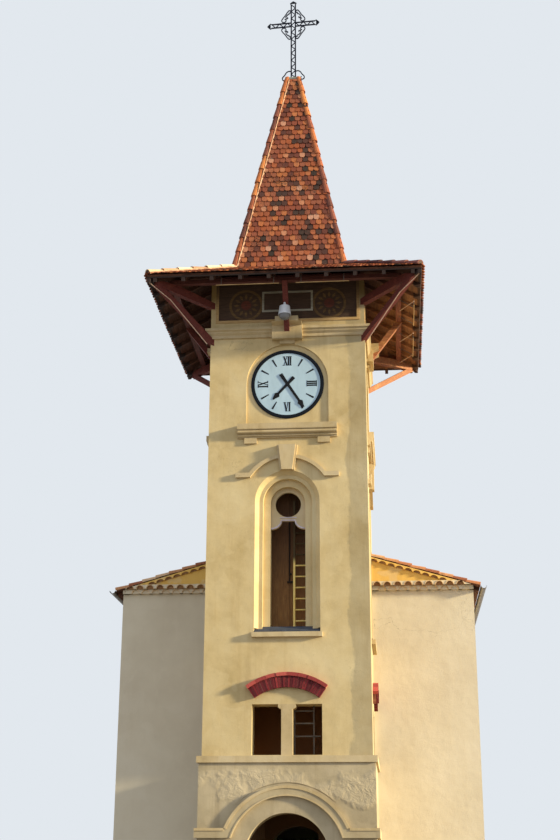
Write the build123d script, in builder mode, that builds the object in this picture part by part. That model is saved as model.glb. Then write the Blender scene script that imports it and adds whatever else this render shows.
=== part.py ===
from build123d import *
import os
from math import atan2, cos, degrees, radians, sin, sqrt, tan

# Chapel with a square bell tower, a skirted spire, a clock and a low nave behind.
# Millimetres, +Z up. The origin is on the tower's axis at ground level, the front faces -Y.

os.makedirs("parts", exist_ok=True)

# Driving dimensions: tower plan and walls
TOWER_HALF = 1800.0
WALL = 500.0
BASE_STEP = 55.0
BASE_TOP = 3865.0
WALL_TOP = 14930.0

# Ground storey: doorway, passage to the nave, floors
DOOR_RADIUS = 875.0
DOOR_SPRING = 1980.0
PASSAGE_HALF = 700.0
PASSAGE_SPRING = 2000.0
FLOOR_THICK = 80.0
UPPER_FLOOR_THICK = 160.0
WINDOW_FLOOR_TOP = 3900.0
BELFRY_FLOOR_TOP = 6700.0

# Arched band round the doorway, and the string course above it
BAND_OUT = 60.0
BAND_INNER_R = 1210.0
BAND_OUTER_R = 1420.0
BAND_LOW = 2360.0
BAND_HIGH = 2555.0
STRING_HIGH = 135.0
STRING_OUT = 100.0

# Twin windows under a segmental brick arch
WINDOW_HALF = 745.0
WINDOW_LOW = 4020.0
WINDOW_HIGH = 5070.0
WALL_LIFT_Z = 6400.0
PIER_HALF = 122.0
PIER_DEPTH = 300.0
PIER_CAP_HALF = 190.0
PIER_CAP_HIGH = 103.0
PIER_FLARE = 36.0
BRICK_CENTRE_Z = 4226.0
BRICK_INNER_R = 1190.0
BRICK_OUTER_R = 1505.0
BRICK_HALF_ANGLE = 35.8
BRICK_OUT = 85.0
BRICK_CAP = 75.0
BRICK_CAP_OUT = 115.0

# Stepped niche with its sill, slate, tracery head and hood mould
NICHE_SPRING = 9525.0
NICHE_LOW = 6595.0
NICHE_STEPS = ((722.0, 100.0), (550.0, 200.0))
NICHE_THROUGH_HALF = 390.0
NICHE_THROUGH_LOW = 6755.0
SILL_HALF = 766.0
SILL_THICK = 103.0
SILL_OUT = 90.0
SLATE_FRONT = 25.0
TRACERY_SET_BACK = 300.0
TRACERY_THICK = 80.0
OCULUS_R = 287.0
NECK_BELOW_SPRING = 377.0
SHOULDER_RISE = 191.0
SHOULDER_HALF = 372.0
NECK_HALF = 146.0
HOOD_ABOVE_SPRING = 15.0
HOOD_R = 1075.0
HOOD_BAND = 80.0
HOOD_SPRING_X = 856.0
HOOD_END_X = 1163.0
HOOD_END_THICK = 105.0
HOOD_OUT = 70.0
KEY_ABOVE_SPRING = 715.0
KEY_TALL = 590.0
KEY_LOW_HALF = 120.0
KEY_HIGH_HALF = 195.0
KEY_OUT = 120.0
KEY_FILLET = 45.0
KEY_FILLET_OUT = 75.0

# Clock storey: blind recess, sill on corbels, dial and hands
CLOCK_Z = 12330.0
RECESS_MARGIN = 100.0
RECESS_ABOVE_CLOCK = 30.0
RECESS_DEPTH = 60.0
CLOCK_SILL_HALF = 1135.0
CLOCK_SILL_BELOW_CLOCK = 1000.0
CLOCK_SILL_SLAB = 122.0
CLOCK_SILL_COVE = 158.0
CLOCK_SILL_FASCIA = 35.0
CLOCK_SILL_OUT = 150.0
CLOCK_SILL_COVE_OUT = 135.0
CLOCK_SILL_FASCIA_OUT = 45.0
CORBEL_IN = 690.0
CORBEL_WIDE = 285.0
CORBEL_DROP = 130.0
DIAL_R = 760.0
DIAL_THICK = 30.0
CLOCK_RING_WIDE = 80.0
CLOCK_RING_OUT = 15.0
HAND_THICK = 6.0
HAND_LEAF_LOW = 0.62
HAND_LEAF_WIDE = 0.72
HAND_TAIL = 0.26
HAND_TAIL_HALF = 0.8
HAND_WAIST_HALF = 0.35
HAND_LEAF_HALF = 1.2
HAND_GAP = 7.0
RUNNING_GAP = 0.3
ARBOR_R = 12.0
HOUR_TUBE_R = 22.0
MINUTE_REACH = 690.0
MINUTE_WIDE = 30.0
MINUTE_BOSS_R = 35.0
HOUR_REACH = 500.0
HOUR_WIDE = 38.0
HOUR_BOSS_R = 42.0
TIME_SHOWN_MINUTES = 7 * 60 + 24.5

# Crowning cornice, consoles and frieze
CORNICE_LOW = 13478.0
CORNICE_BED = 70.0
CORNICE_BED_OUT = 42.0
CORNICE_SPLAY = 50.0
CORNICE_BAND_OUT = 84.0
CORNICE_BAND = 35.0
CORNICE_LIP = 25.0
CORNICE_SLAB = 60.0
CORNICE_OUT = 120.0
CONSOLE_HALF = 350.0
CONSOLE_FOOT_HALF = 175.0
CONSOLE_FOOT = 90.0
CONSOLE_FOOT_OUT = 60.0
CONSOLE_CROWN_HALF = 267.0
CONSOLE_CROWN = 120.0
CONSOLE_BELOW_CORNICE = 83.0
CONSOLE_TALL = 500.0
CONSOLE_OUT = 160.0
CONSOLE_CROWN_OUT = 300.0
FRIEZE_LOW = 13930.0
FRIEZE_HIGH = 14875.0
FRIEZE_HALF = 1630.0
FRIEZE_DEPTH = 40.0
FRIEZE_BOARD = 20.0
FRIEZE_PANEL_HALF = 600.0
FRIEZE_PANEL_MARGIN = 210.0
FRIEZE_PANEL_OUT = 32.0

# Skirt roof and its timbers
EAVE_HALF = 3180.0
EAVE_Z = 14490.0
SKIRT_PITCH = 27.5
DECK = 30.0
RAFTER_DEEP = 90.0
RAFTER_WIDE = 80.0
RAFTER_PITCH = 650.0
RAFTERS_A_SIDE = 10
RAFTER_END_HALF = 3110.0
HIP_RAFTER_WIDE = 100.0
SEAT_GAP = 0.3
TILE_LAYER = 90.0
PURLIN_HALF = 2600.0
PURLIN_WIDE = 130.0
PURLIN_LOW = 14527.0
PLATE_WIDE = 160.0
BEAM_WIDE = 130.0
BEAM_DEEP = 150.0
BEAM_END_HALF = 2960.0
BEAM_FOOT_Z = 14250.0
STRUT_WIDE = 120.0
STRUT_DEEP = 130.0
CORNER_STRUT_FOOT_Z = 13430.0
CORNER_STRUT_HEAD_HALF = 2860.0
SIDE_STRUT_FOOT_Z = 13670.0
HIP_TILE_R = 95.0

# Spire, mortar cap and iron cross
SPIRE_BASE_HALF = 1335.0
SPIRE_BASE_Z = 15545.0
SPIRE_TOP_HALF = 147.0
SPIRE_TOP_Z = 21634.0
SPIRE_SHELL = 160.0
CAP_LOW_Z = 21500.0
CAP_LIP = 25.0
CROSS_TALL = 2494.0
CROSS_ARM_SHARE = 0.7
CROSS_ARM_REACH = 716.0
CROSS_LEAF = 170.0
CROSS_BAR_SPREAD = 132.0
CROSS_BAR = 18.0
CROSS_LACE = 14.0
CROSS_THICK = 22.0
CROSS_TURN = -4.0
CROSS_WING_AT = 0.3
CROSS_WING_HALF = 99.0
CROSS_SCROLL = (
    (70, 480), (220, 410), (290, 270), (270, 150), (170, 100), (110, 170), (160, 240), (210, 200), (180, 160))
CROSS_FOOT_SCROLL = (
    (70, 300), (200, 285), (290, 190), (285, 90), (215, 50), (160, 95), (185, 150), (225, 140), (215, 105))

# Belfry screen, ladder and lamp
SCREEN_HALF = 800.0
SCREEN_TOP = 10100.0
SCREEN_THICK = 50.0
SCREEN_SET_BACK = 250.0
SCREEN_JOINT = 8.0
LADDER_X = 280.0
LADDER_HALF = 170.0
LADDER_TOP = 9700.0
LADDER_STILE = 45.0
LADDER_DEEP = 80.0
RUNG_PITCH = 250.0
RUNG_R = 17.0
LAMP_OUT = 2350.0
LAMP_X = -20.0
LAMP_R = 150.0
LAMP_LOW = 13690.0
LAMP_HIGH = 330.0
LAMP_LOWER = (0.64, 0.1)
LAMP_SHOULDER = (0.9, 0.35)
LAMP_HEAD = 0.8
LAMP_STEM = 0.2

# Entrance door
LEAF_THICK = 50.0
LEAF_LAP = 30.0
LEAF_WALL_GAP = 8.0
LEAF_MEETING_GAP = 10.0
LEAF_FLOOR_GAP = 12.0
LEAF_OPEN = 70.0
PINTLE_R = 9.0
PINTLE_BRACKET = 32.0
PINTLE_NOTCH = 60.0
PINTLE_PIN = 70.0
PINTLE_Z = (420.0, 1680.0)

# Nave
NAVE_HALF = 4190.0
NAVE_FRONT_Y = 950.0
NAVE_LENGTH = 12300.0
NAVE_WALL = 500.0
NAVE_RIDGE_Z = 9420.0
NAVE_PITCH = 16.4
NAVE_ROOF_THICK = 140.0
NAVE_ROOF_EDGE = 4360.0
NAVE_VERGE = 180.0
RIDGE_TILE_R = 120.0
COVER_ROWS = 51
COVER_HALF = 90.0
COVER_TOP_HALF = 45.0
COVER_HIGH = 55.0
VERGE_THICK = 50.0
GENOISE_LOW = 8040.0
GENOISE_ROW = 100.0
GENOISE_STEP = 90.0
GUTTER_R = 70.0
GUTTER_SKIN = 5.0

FRONT, RIGHT, REAR, LEFT = 0, 90, 180, -90
SIDES = (FRONT, RIGHT, REAR, LEFT)
DRESSED_SIDES = (FRONT, RIGHT, LEFT)
CORNERS = (45, 135, 225, 315)

# Worked-out places
inner_half = TOWER_HALF - WALL
base_half = TOWER_HALF + BASE_STEP
band_half = base_half + BAND_OUT
nave_rear_y = NAVE_FRONT_Y + NAVE_LENGTH
ring_r = DIAL_R + CLOCK_RING_WIDE
recess_half = ring_r + RECESS_MARGIN
recess_spring = CLOCK_Z + RECESS_ABOVE_CLOCK
recess_out = TOWER_HALF - RECESS_DEPTH
clock_sill_top = CLOCK_Z - CLOCK_SILL_BELOW_CLOCK
neck_top = NICHE_SPRING - NECK_BELOW_SPRING
shoulder_low = neck_top - SHOULDER_RISE
hood_centre_z = NICHE_SPRING + HOOD_ABOVE_SPRING
key_low = NICHE_SPRING + KEY_ABOVE_SPRING
console_low = CORNICE_LOW - CONSOLE_BELOW_CORNICE
console_high = console_low + CONSOLE_TALL
cross_top_z = SPIRE_TOP_Z + CROSS_TALL
cross_arm_z = SPIRE_TOP_Z + CROSS_ARM_SHARE * CROSS_TALL
skirt_rise = tan(radians(SKIRT_PITCH))
skirt_cos = cos(radians(SKIRT_PITCH))
spire_lean = (SPIRE_BASE_HALF - SPIRE_TOP_HALF) / (SPIRE_TOP_Z - SPIRE_BASE_Z)
nave_rise = tan(radians(NAVE_PITCH))
nave_cos = cos(radians(NAVE_PITCH))
HIGH = 2 * cross_top_z


def outward(turn, out=1.0):
    """A vector of length `out` that points squarely out of the side turned by `turn` degrees."""
    return Vector(0, -out, 0).rotate(Axis.Z, turn)


def side_plane(turn, out):
    """Upright plane `out` from the tower's axis: local X to the right, Y up, Z outwards."""
    return Plane(origin=outward(turn, out), x_dir=Vector(1, 0, 0).rotate(Axis.Z, turn), z_dir=outward(turn))


def section_plane(turn):
    """Upright plane through the axis: local X is the distance out, local Y the height."""
    return Plane(origin=(0, 0, 0), x_dir=outward(turn), z_dir=Vector(-1, 0, 0).rotate(Axis.Z, turn))


def block(low_x, high_x, low_y, high_y, mode=Mode.ADD):
    """A rectangle of the open sketch, by its edges."""
    with Locations(((low_x + high_x) / 2, (low_y + high_y) / 2)):
        Rectangle(high_x - low_x, high_y - low_y, mode=mode)


def arch(half, low, spring, mode=Mode.ADD):
    """A round-headed opening of the open sketch."""
    block(-half, half, low, spring, mode)
    with Locations((0, spring)):
        Circle(half, mode=mode)


def arc_band(inner, outer, centre_z, half_angle):
    """A band between two circles, kept within `half_angle` degrees of upright."""
    reach = 2 * outer
    side = reach * tan(radians(half_angle))
    with Locations((0, centre_z)):
        Circle(outer)
        Circle(inner, mode=Mode.SUBTRACT)
        Polygon((0, 0), (side, reach), (-side, reach), mode=Mode.INTERSECT)


def deck_z(out, depth=0.0):
    """Height of the skirt roof's deck at a distance from the axis, `depth` below its top."""
    return EAVE_Z + (EAVE_HALF - out) * skirt_rise - depth / skirt_cos


def spire_half(z):
    """Half the spire's width at a height."""
    return SPIRE_BASE_HALF - (z - SPIRE_BASE_Z) * spire_lean


def at_spire(depth):
    """Where a layer of the skirt, `depth` below the deck's top, meets the face of the spire."""
    level = deck_z(0, depth)
    out = (spire_half(level)) / (1 - skirt_rise * spire_lean)
    return (out, level - out * skirt_rise)


def layer(top, bottom, outer):
    """Section of a skirt layer between two depths, from the spire out to `outer`."""
    return ((outer, deck_z(outer, bottom)), (outer, deck_z(outer, top)), at_spire(top), at_spire(bottom))


def nave_roof_z(x, depth=0.0):
    """Height of the nave's roof, `depth` below its top."""
    return NAVE_RIDGE_Z - abs(x) * nave_rise - depth / nave_cos


def mitred_side(section, turn):
    """One side of a square ring round the tower, from its section, cut at 45 degrees."""
    reach = 1.1 * max(point[0] for point in section)
    with BuildPart() as side:
        with BuildSketch(section_plane(turn)):
            Polygon(*section)
        extrude(amount=reach, both=True)
        with BuildSketch(Plane.XY.rotated((0, 0, turn))):
            Polygon((0, 0), (-reach, -reach), (reach, -reach))
        extrude(amount=HIGH, mode=Mode.INTERSECT)
    return side.part


def bar_along(section, turn, width, gap=0.0):
    """A timber in the upright plane through the axis, `width` across, from its side outline."""
    with BuildPart() as bar:
        with BuildSketch(section_plane(turn)):
            Polygon(*section)
        extrude(amount=width / 2 - gap, both=True)
    return bar.part


def finish(piece, name):
    """Names a finished piece and writes its file."""
    piece.part.label = name
    export_step(piece.part, f"parts/{name}.step")


# Ground storey: two piers and an arched head in front, plain flanks, a passage at the back
for name, low_x in (("base_pier_left", -base_half), ("base_pier_right", DOOR_RADIUS)):
    with BuildPart() as pier:
        with BuildSketch(side_plane(FRONT, inner_half)):
            block(low_x, low_x + base_half - DOOR_RADIUS, 0, DOOR_SPRING)
        extrude(amount=base_half - inner_half)
    finish(pier, name)

with BuildPart() as base_arch_head:
    with BuildSketch(side_plane(FRONT, inner_half)):
        block(-base_half, base_half, DOOR_SPRING, BASE_TOP)
        with Locations((0, DOOR_SPRING)):
            Circle(DOOR_RADIUS, mode=Mode.SUBTRACT)
    extrude(amount=base_half - inner_half)
finish(base_arch_head, "base_arch_head")

with BuildPart() as base_side_walls:
    for turn in (LEFT, RIGHT):
        with BuildSketch(side_plane(turn, inner_half)):
            block(-inner_half, inner_half, 0, BASE_TOP)
        extrude(amount=base_half - inner_half)
finish(base_side_walls, "base_side_walls")

with BuildPart() as base_wall_back:
    with BuildSketch(side_plane(REAR, inner_half)):
        block(-base_half, base_half, 0, BASE_TOP)
        arch(PASSAGE_HALF, 0, PASSAGE_SPRING, Mode.SUBTRACT)
    extrude(amount=WALL)
finish(base_wall_back, "base_wall_back")

with BuildPart() as porch_floor:
    with BuildSketch():
        block(-inner_half, inner_half, -inner_half, inner_half)
        block(-DOOR_RADIUS, DOOR_RADIUS, -base_half, -inner_half)
        block(-PASSAGE_HALF, PASSAGE_HALF, inner_half, TOWER_HALF)
    extrude(amount=FLOOR_THICK)
finish(porch_floor, "porch_floor")

# Arched band of the doorway with its level imposts, carried round the flanks to the nave
with BuildPart() as door_surround:
    with BuildSketch(side_plane(FRONT, base_half)):
        with Locations((0, DOOR_SPRING)):
            Circle(BAND_OUTER_R)
        block(-BAND_OUTER_R, BAND_OUTER_R, DOOR_SPRING - BAND_OUTER_R, BAND_LOW, Mode.SUBTRACT)
        block(-band_half, band_half, BAND_LOW, BAND_HIGH)
        with Locations((0, DOOR_SPRING)):
            Circle(BAND_INNER_R, mode=Mode.SUBTRACT)
    extrude(amount=BAND_OUT)
    with BuildSketch(Plane.XY.offset(BAND_LOW)):
        for low_x, high_x in ((-band_half, -base_half), (base_half, band_half)):
            block(low_x, high_x, -base_half, NAVE_FRONT_Y)
    extrude(amount=BAND_HIGH - BAND_LOW)
finish(door_surround, "door_surround")

with BuildPart() as string_course:
    with BuildSketch(Plane.XY.offset(BASE_TOP)):
        string_half = TOWER_HALF + STRING_OUT
        block(-string_half, string_half, -string_half, NAVE_FRONT_Y)
        block(-TOWER_HALF, TOWER_HALF, -TOWER_HALF, NAVE_FRONT_Y, Mode.SUBTRACT)
    extrude(amount=STRING_HIGH)
finish(string_course, "string_course")

# Tower walls above the ground storey: full width in front and behind, the flanks between them;
# the front wall is built in two lifts, so that the twin window's wall is a piece of its own
for name, turn, half, low, high in (
    ("tower_wall_window", FRONT, TOWER_HALF, BASE_TOP, WALL_LIFT_Z),
    ("tower_wall_front", FRONT, TOWER_HALF, WALL_LIFT_Z, WALL_TOP),
    ("tower_wall_right", RIGHT, inner_half, BASE_TOP, WALL_TOP),
    ("tower_wall_left", LEFT, inner_half, BASE_TOP, WALL_TOP),
    ("tower_wall_back", REAR, TOWER_HALF, BASE_TOP, WALL_TOP),
):
    with BuildPart() as tower_wall:
        with BuildSketch(side_plane(turn, inner_half)):
            block(-half, half, low, high)
            if turn in DRESSED_SIDES:
                block(-WINDOW_HALF, WINDOW_HALF, WINDOW_LOW, WINDOW_HIGH, Mode.SUBTRACT)
                arch(NICHE_THROUGH_HALF, NICHE_THROUGH_LOW, NICHE_SPRING, Mode.SUBTRACT)
        extrude(amount=WALL)
        if high == WALL_TOP:
            if turn in DRESSED_SIDES:
                for step_half, step_depth in NICHE_STEPS:
                    with BuildSketch(side_plane(turn, TOWER_HALF)):
                        arch(step_half, NICHE_LOW, NICHE_SPRING)
                    extrude(amount=-step_depth, mode=Mode.SUBTRACT)
            with BuildSketch(side_plane(turn, TOWER_HALF)):
                arch(recess_half, clock_sill_top, recess_spring)
            extrude(amount=-RECESS_DEPTH, mode=Mode.SUBTRACT)
            for side in SIDES:
                with BuildSketch(side_plane(side, TOWER_HALF)):
                    block(-FRIEZE_HALF, FRIEZE_HALF, FRIEZE_LOW, FRIEZE_HIGH)
                extrude(amount=-FRIEZE_DEPTH, mode=Mode.SUBTRACT)
    finish(tower_wall, name)

with BuildPart() as upper_floors:
    for top in (WINDOW_FLOOR_TOP, BELFRY_FLOOR_TOP):
        with BuildSketch(Plane.XY.offset(top - UPPER_FLOOR_THICK)):
            Rectangle(2 * inner_half, 2 * inner_half)
        extrude(amount=UPPER_FLOOR_THICK)
finish(upper_floors, "upper_floors")

# Middle piers of the twin windows, with their flared caps
pier_cap_low = WINDOW_HIGH - PIER_CAP_HIGH
with BuildPart() as window_piers:
    for turn in DRESSED_SIDES:
        with BuildSketch(side_plane(turn, TOWER_HALF)):
            Polygon(
                (-PIER_HALF, WINDOW_LOW),
                (PIER_HALF, WINDOW_LOW),
                (PIER_HALF, pier_cap_low),
                (PIER_CAP_HALF, pier_cap_low + PIER_FLARE),
                (PIER_CAP_HALF, WINDOW_HIGH),
                (-PIER_CAP_HALF, WINDOW_HIGH),
                (-PIER_CAP_HALF, pier_cap_low + PIER_FLARE),
                (-PIER_HALF, pier_cap_low),
            )
        extrude(amount=-PIER_DEPTH)
finish(window_piers, "window_piers")

# Segmental brick arches with a projecting cap course
with BuildPart() as brick_arches:
    for turn in DRESSED_SIDES:
        with BuildSketch(side_plane(turn, TOWER_HALF)):
            arc_band(BRICK_INNER_R, BRICK_OUTER_R, BRICK_CENTRE_Z, BRICK_HALF_ANGLE)
        extrude(amount=BRICK_OUT)
        with BuildSketch(side_plane(turn, TOWER_HALF)):
            arc_band(BRICK_OUTER_R - BRICK_CAP, BRICK_OUTER_R, BRICK_CENTRE_Z, BRICK_HALF_ANGLE)
        extrude(amount=BRICK_CAP_OUT)
finish(brick_arches, "brick_arches")

# Niche: stone sill, sloped slate behind it, tracery head with its round eye
with BuildPart() as niche_sills:
    for turn in DRESSED_SIDES:
        with BuildSketch(side_plane(turn, TOWER_HALF)):
            block(-SILL_HALF, SILL_HALF, NICHE_LOW - SILL_THICK, NICHE_LOW)
        extrude(amount=SILL_OUT)
finish(niche_sills, "niche_sills")


def slate_wedge(turn, half, depth):
    """Sloped slab on the niche's ledge, rising inwards to the sill of the opening."""
    rise = (NICHE_THROUGH_LOW - NICHE_LOW - SLATE_FRONT) / NICHE_STEPS[-1][1]
    front = TOWER_HALF + SLATE_FRONT
    section = (
        (front, NICHE_LOW),
        (front, NICHE_LOW + SLATE_FRONT),
        (TOWER_HALF, NICHE_LOW + SLATE_FRONT),
        (TOWER_HALF - depth, NICHE_LOW + SLATE_FRONT + depth * rise),
        (TOWER_HALF - depth, NICHE_LOW),
    )
    return bar_along(section, turn, 2 * half)


slate_pieces = [slate_wedge(turn, half, depth) for turn in DRESSED_SIDES for half, depth in NICHE_STEPS]
with BuildPart() as niche_slates:
    add(slate_pieces)
finish(niche_slates, "niche_slates")

with BuildPart() as tracery_panels:
    for turn in DRESSED_SIDES:
        with BuildSketch(side_plane(turn, TOWER_HALF - TRACERY_SET_BACK)):
            arch(NICHE_THROUGH_HALF, shoulder_low, NICHE_SPRING)
            with Locations((0, NICHE_SPRING)):
                Circle(OCULUS_R, mode=Mode.SUBTRACT)
            block(-SHOULDER_HALF, SHOULDER_HALF, shoulder_low, neck_top, Mode.SUBTRACT)
            with Locations((-SHOULDER_HALF, neck_top), (SHOULDER_HALF, neck_top)):
                Ellipse(SHOULDER_HALF - NECK_HALF, SHOULDER_RISE)
            block(-2 * SHOULDER_HALF, -NICHE_THROUGH_HALF, 0, HIGH, Mode.SUBTRACT)
            block(NICHE_THROUGH_HALF, 2 * SHOULDER_HALF, 0, HIGH, Mode.SUBTRACT)
            with Locations((0, NICHE_SPRING)):
                Circle(OCULUS_R, mode=Mode.SUBTRACT)
        extrude(amount=-TRACERY_THICK)
finish(tracery_panels, "tracery_panels")

# Hood mould over the niche, broken by its keystone
def key_outline(margin):
    """Outline of the keystone, `margin` wider on each flank."""
    key_high = key_low + KEY_TALL
    return (
        (-KEY_LOW_HALF - margin, key_low),
        (KEY_LOW_HALF + margin, key_low),
        (KEY_HIGH_HALF + margin, key_high),
        (-KEY_HIGH_HALF - margin, key_high),
    )


hood_end_z = hood_centre_z + sqrt(HOOD_R**2 - HOOD_SPRING_X**2)
hood_end_low = hood_end_z - HOOD_END_THICK

with BuildPart() as hood_moulds:
    for turn in DRESSED_SIDES:
        with BuildSketch(side_plane(turn, TOWER_HALF)):
            with Locations((0, hood_centre_z)):
                Circle(HOOD_R)
            block(-HOOD_R, HOOD_R, hood_centre_z - HOOD_R, hood_end_low, Mode.SUBTRACT)
            block(-HOOD_END_X, HOOD_END_X, hood_end_low, hood_end_z)
            with Locations((0, hood_centre_z)):
                Circle(HOOD_R - HOOD_BAND, mode=Mode.SUBTRACT)
            Polygon(*key_outline(KEY_FILLET), mode=Mode.SUBTRACT)
        extrude(amount=HOOD_OUT)
finish(hood_moulds, "hood_moulds")

with BuildPart() as keystones:
    for turn in DRESSED_SIDES:
        for margin, out in ((0, KEY_OUT), (KEY_FILLET, KEY_FILLET_OUT)):
            with BuildSketch(side_plane(turn, TOWER_HALF)):
                Polygon(*key_outline(margin))
            extrude(amount=out)
finish(keystones, "keystones")

# Clock sill: slab over a cove and a fascia, on stepped corbels
sill_slab_low = clock_sill_top - CLOCK_SILL_SLAB
sill_cove_low = sill_slab_low - CLOCK_SILL_COVE
sill_low = sill_cove_low - CLOCK_SILL_FASCIA
with BuildPart() as clock_sills:
    for turn in SIDES:
        with BuildSketch(section_plane(turn)):
            block(TOWER_HALF, TOWER_HALF + CLOCK_SILL_OUT, sill_slab_low, clock_sill_top)
            block(TOWER_HALF, TOWER_HALF + CLOCK_SILL_FASCIA_OUT, sill_low, sill_slab_low)
            Polygon(
                (TOWER_HALF, sill_cove_low),
                (TOWER_HALF + CLOCK_SILL_FASCIA_OUT, sill_cove_low),
                (TOWER_HALF + CLOCK_SILL_COVE_OUT, sill_slab_low),
                (TOWER_HALF, sill_slab_low),
            )
        extrude(amount=CLOCK_SILL_HALF, both=True)
        with BuildSketch(side_plane(turn, TOWER_HALF)):
            for low_x in (CORBEL_IN, -CORBEL_IN - CORBEL_WIDE):
                block(low_x, low_x + CORBEL_WIDE, sill_low - CORBEL_DROP, sill_low)
        extrude(amount=CLOCK_SILL_FASCIA_OUT)
finish(clock_sills, "clock_sills")

# Clock: iron ring, dial, and two hands on one axis
dial_out = recess_out + DIAL_THICK
hour_out = dial_out + HAND_GAP
minute_out = hour_out + HAND_THICK + HAND_GAP
bore_r = HOUR_TUBE_R + RUNNING_GAP

with BuildPart() as clock_dial:
    with BuildSketch(side_plane(FRONT, recess_out)):
        with Locations((0, CLOCK_Z)):
            Circle(DIAL_R)
            Circle(bore_r, mode=Mode.SUBTRACT)
    extrude(amount=DIAL_THICK)
finish(clock_dial, "clock_dial")

with BuildPart() as clock_ring:
    with BuildSketch(side_plane(FRONT, recess_out)):
        with Locations((0, CLOCK_Z)):
            Circle(ring_r)
            Circle(DIAL_R, mode=Mode.SUBTRACT)
    extrude(amount=RECESS_DEPTH + CLOCK_RING_OUT)
finish(clock_ring, "clock_ring")


def hand_outline(reach, width):
    """A hand that points up from the clock's centre: a bar, a leaf near the tip, a short tail."""
    leaf_low = HAND_LEAF_LOW * reach
    leaf_wide = HAND_LEAF_WIDE * reach
    tail = HAND_TAIL * reach
    tail_half, waist_half, leaf_half = (
        share * width for share in (HAND_TAIL_HALF, HAND_WAIST_HALF, HAND_LEAF_HALF))
    Polygon(
        (-tail_half, -tail),
        (tail_half, -tail),
        (waist_half, leaf_low),
        (leaf_half, leaf_wide),
        (0, reach),
        (-leaf_half, leaf_wide),
        (-waist_half, leaf_low),
    )


HOUR_MINUTES, ROUND_MINUTES = 60, 720
minute_turn = -360 * (TIME_SHOWN_MINUTES % HOUR_MINUTES) / HOUR_MINUTES
hour_turn = -360 * (TIME_SHOWN_MINUTES % ROUND_MINUTES) / ROUND_MINUTES


def clock_plane(out, turn):
    """Plane of a hand: local Y runs along the hand, local Z out of the dial."""
    across = Vector(cos(radians(turn)), 0, sin(radians(turn)))
    return Plane(origin=(0, -out, CLOCK_Z), x_dir=across, z_dir=outward(FRONT))


with BuildPart() as minute_hand:
    with BuildSketch(clock_plane(minute_out, minute_turn)):
        hand_outline(MINUTE_REACH, MINUTE_WIDE)
        Circle(MINUTE_BOSS_R)
    extrude(amount=HAND_THICK)
    with BuildSketch(clock_plane(minute_out, minute_turn)):
        Circle(ARBOR_R)
    extrude(amount=-(minute_out - recess_out - HAND_GAP / 2))
finish(minute_hand, "minute_hand")

with BuildPart() as hour_hand:
    with BuildSketch(clock_plane(hour_out, hour_turn)):
        hand_outline(HOUR_REACH, HOUR_WIDE)
        Circle(HOUR_BOSS_R)
    extrude(amount=HAND_THICK)
    with BuildSketch(clock_plane(hour_out, hour_turn)):
        Circle(HOUR_TUBE_R)
    extrude(amount=-(hour_out - recess_out - HAND_GAP / 2))
    with BuildSketch(clock_plane(hour_out + HAND_THICK, hour_turn)):
        Circle(ARBOR_R + RUNNING_GAP)
    extrude(amount=-WALL, mode=Mode.SUBTRACT)
finish(hour_hand, "hour_hand")

# Frieze boards between the corner pilasters, with a plain raised panel in the middle
frieze_out = TOWER_HALF - FRIEZE_DEPTH
with BuildPart() as frieze_boards:
    for turn in SIDES:
        with BuildSketch(side_plane(turn, frieze_out)):
            block(-FRIEZE_HALF, FRIEZE_HALF, FRIEZE_LOW, FRIEZE_HIGH)
        extrude(amount=FRIEZE_BOARD)
        with BuildSketch(side_plane(turn, frieze_out)):
            panel_low = FRIEZE_LOW + FRIEZE_PANEL_MARGIN
            panel_high = FRIEZE_HIGH - FRIEZE_PANEL_MARGIN
            block(-FRIEZE_PANEL_HALF, FRIEZE_PANEL_HALF, panel_low, panel_high)
        extrude(amount=FRIEZE_PANEL_OUT)
finish(frieze_boards, "frieze_boards")

# Timbers under the skirt roof
rafter_low = DECK + RAFTER_DEEP
plate_section = (
    (TOWER_HALF, WALL_TOP),
    (TOWER_HALF, deck_z(TOWER_HALF, rafter_low)),
    (TOWER_HALF - PLATE_WIDE, deck_z(TOWER_HALF - PLATE_WIDE, rafter_low)),
    (TOWER_HALF - PLATE_WIDE, WALL_TOP),
)
purlin_in = PURLIN_HALF - PURLIN_WIDE / 2
purlin_out = PURLIN_HALF + PURLIN_WIDE / 2
purlin_section = (
    (purlin_out, PURLIN_LOW),
    (purlin_out, deck_z(purlin_out, rafter_low)),
    (purlin_in, deck_z(purlin_in, rafter_low)),
    (purlin_in, PURLIN_LOW),
)
for name, section in (("wall_plates", plate_section), ("eave_purlins", purlin_section)):
    ring_sides = [mitred_side(section, turn) for turn in SIDES]
    with BuildPart() as timber_ring:
        add(ring_sides)
    finish(timber_ring, name)

rafter_section = layer(DECK, rafter_low, RAFTER_END_HALF)


def rafter_places():
    """Places of the rafters along one side, evenly spread about its middle."""
    first = -(RAFTERS_A_SIDE - 1) / 2 * RAFTER_PITCH
    return [first + number * RAFTER_PITCH for number in range(RAFTERS_A_SIDE)]


rafter_ring_sides = [mitred_side(rafter_section, turn) for turn in SIDES]
with BuildPart() as hip_rafters:
    add(rafter_ring_sides)
    with BuildSketch():
        for turn in CORNERS[:2]:
            Rectangle(4 * EAVE_HALF, HIP_RAFTER_WIDE, rotation=turn)
    extrude(amount=HIGH, mode=Mode.INTERSECT)

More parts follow.
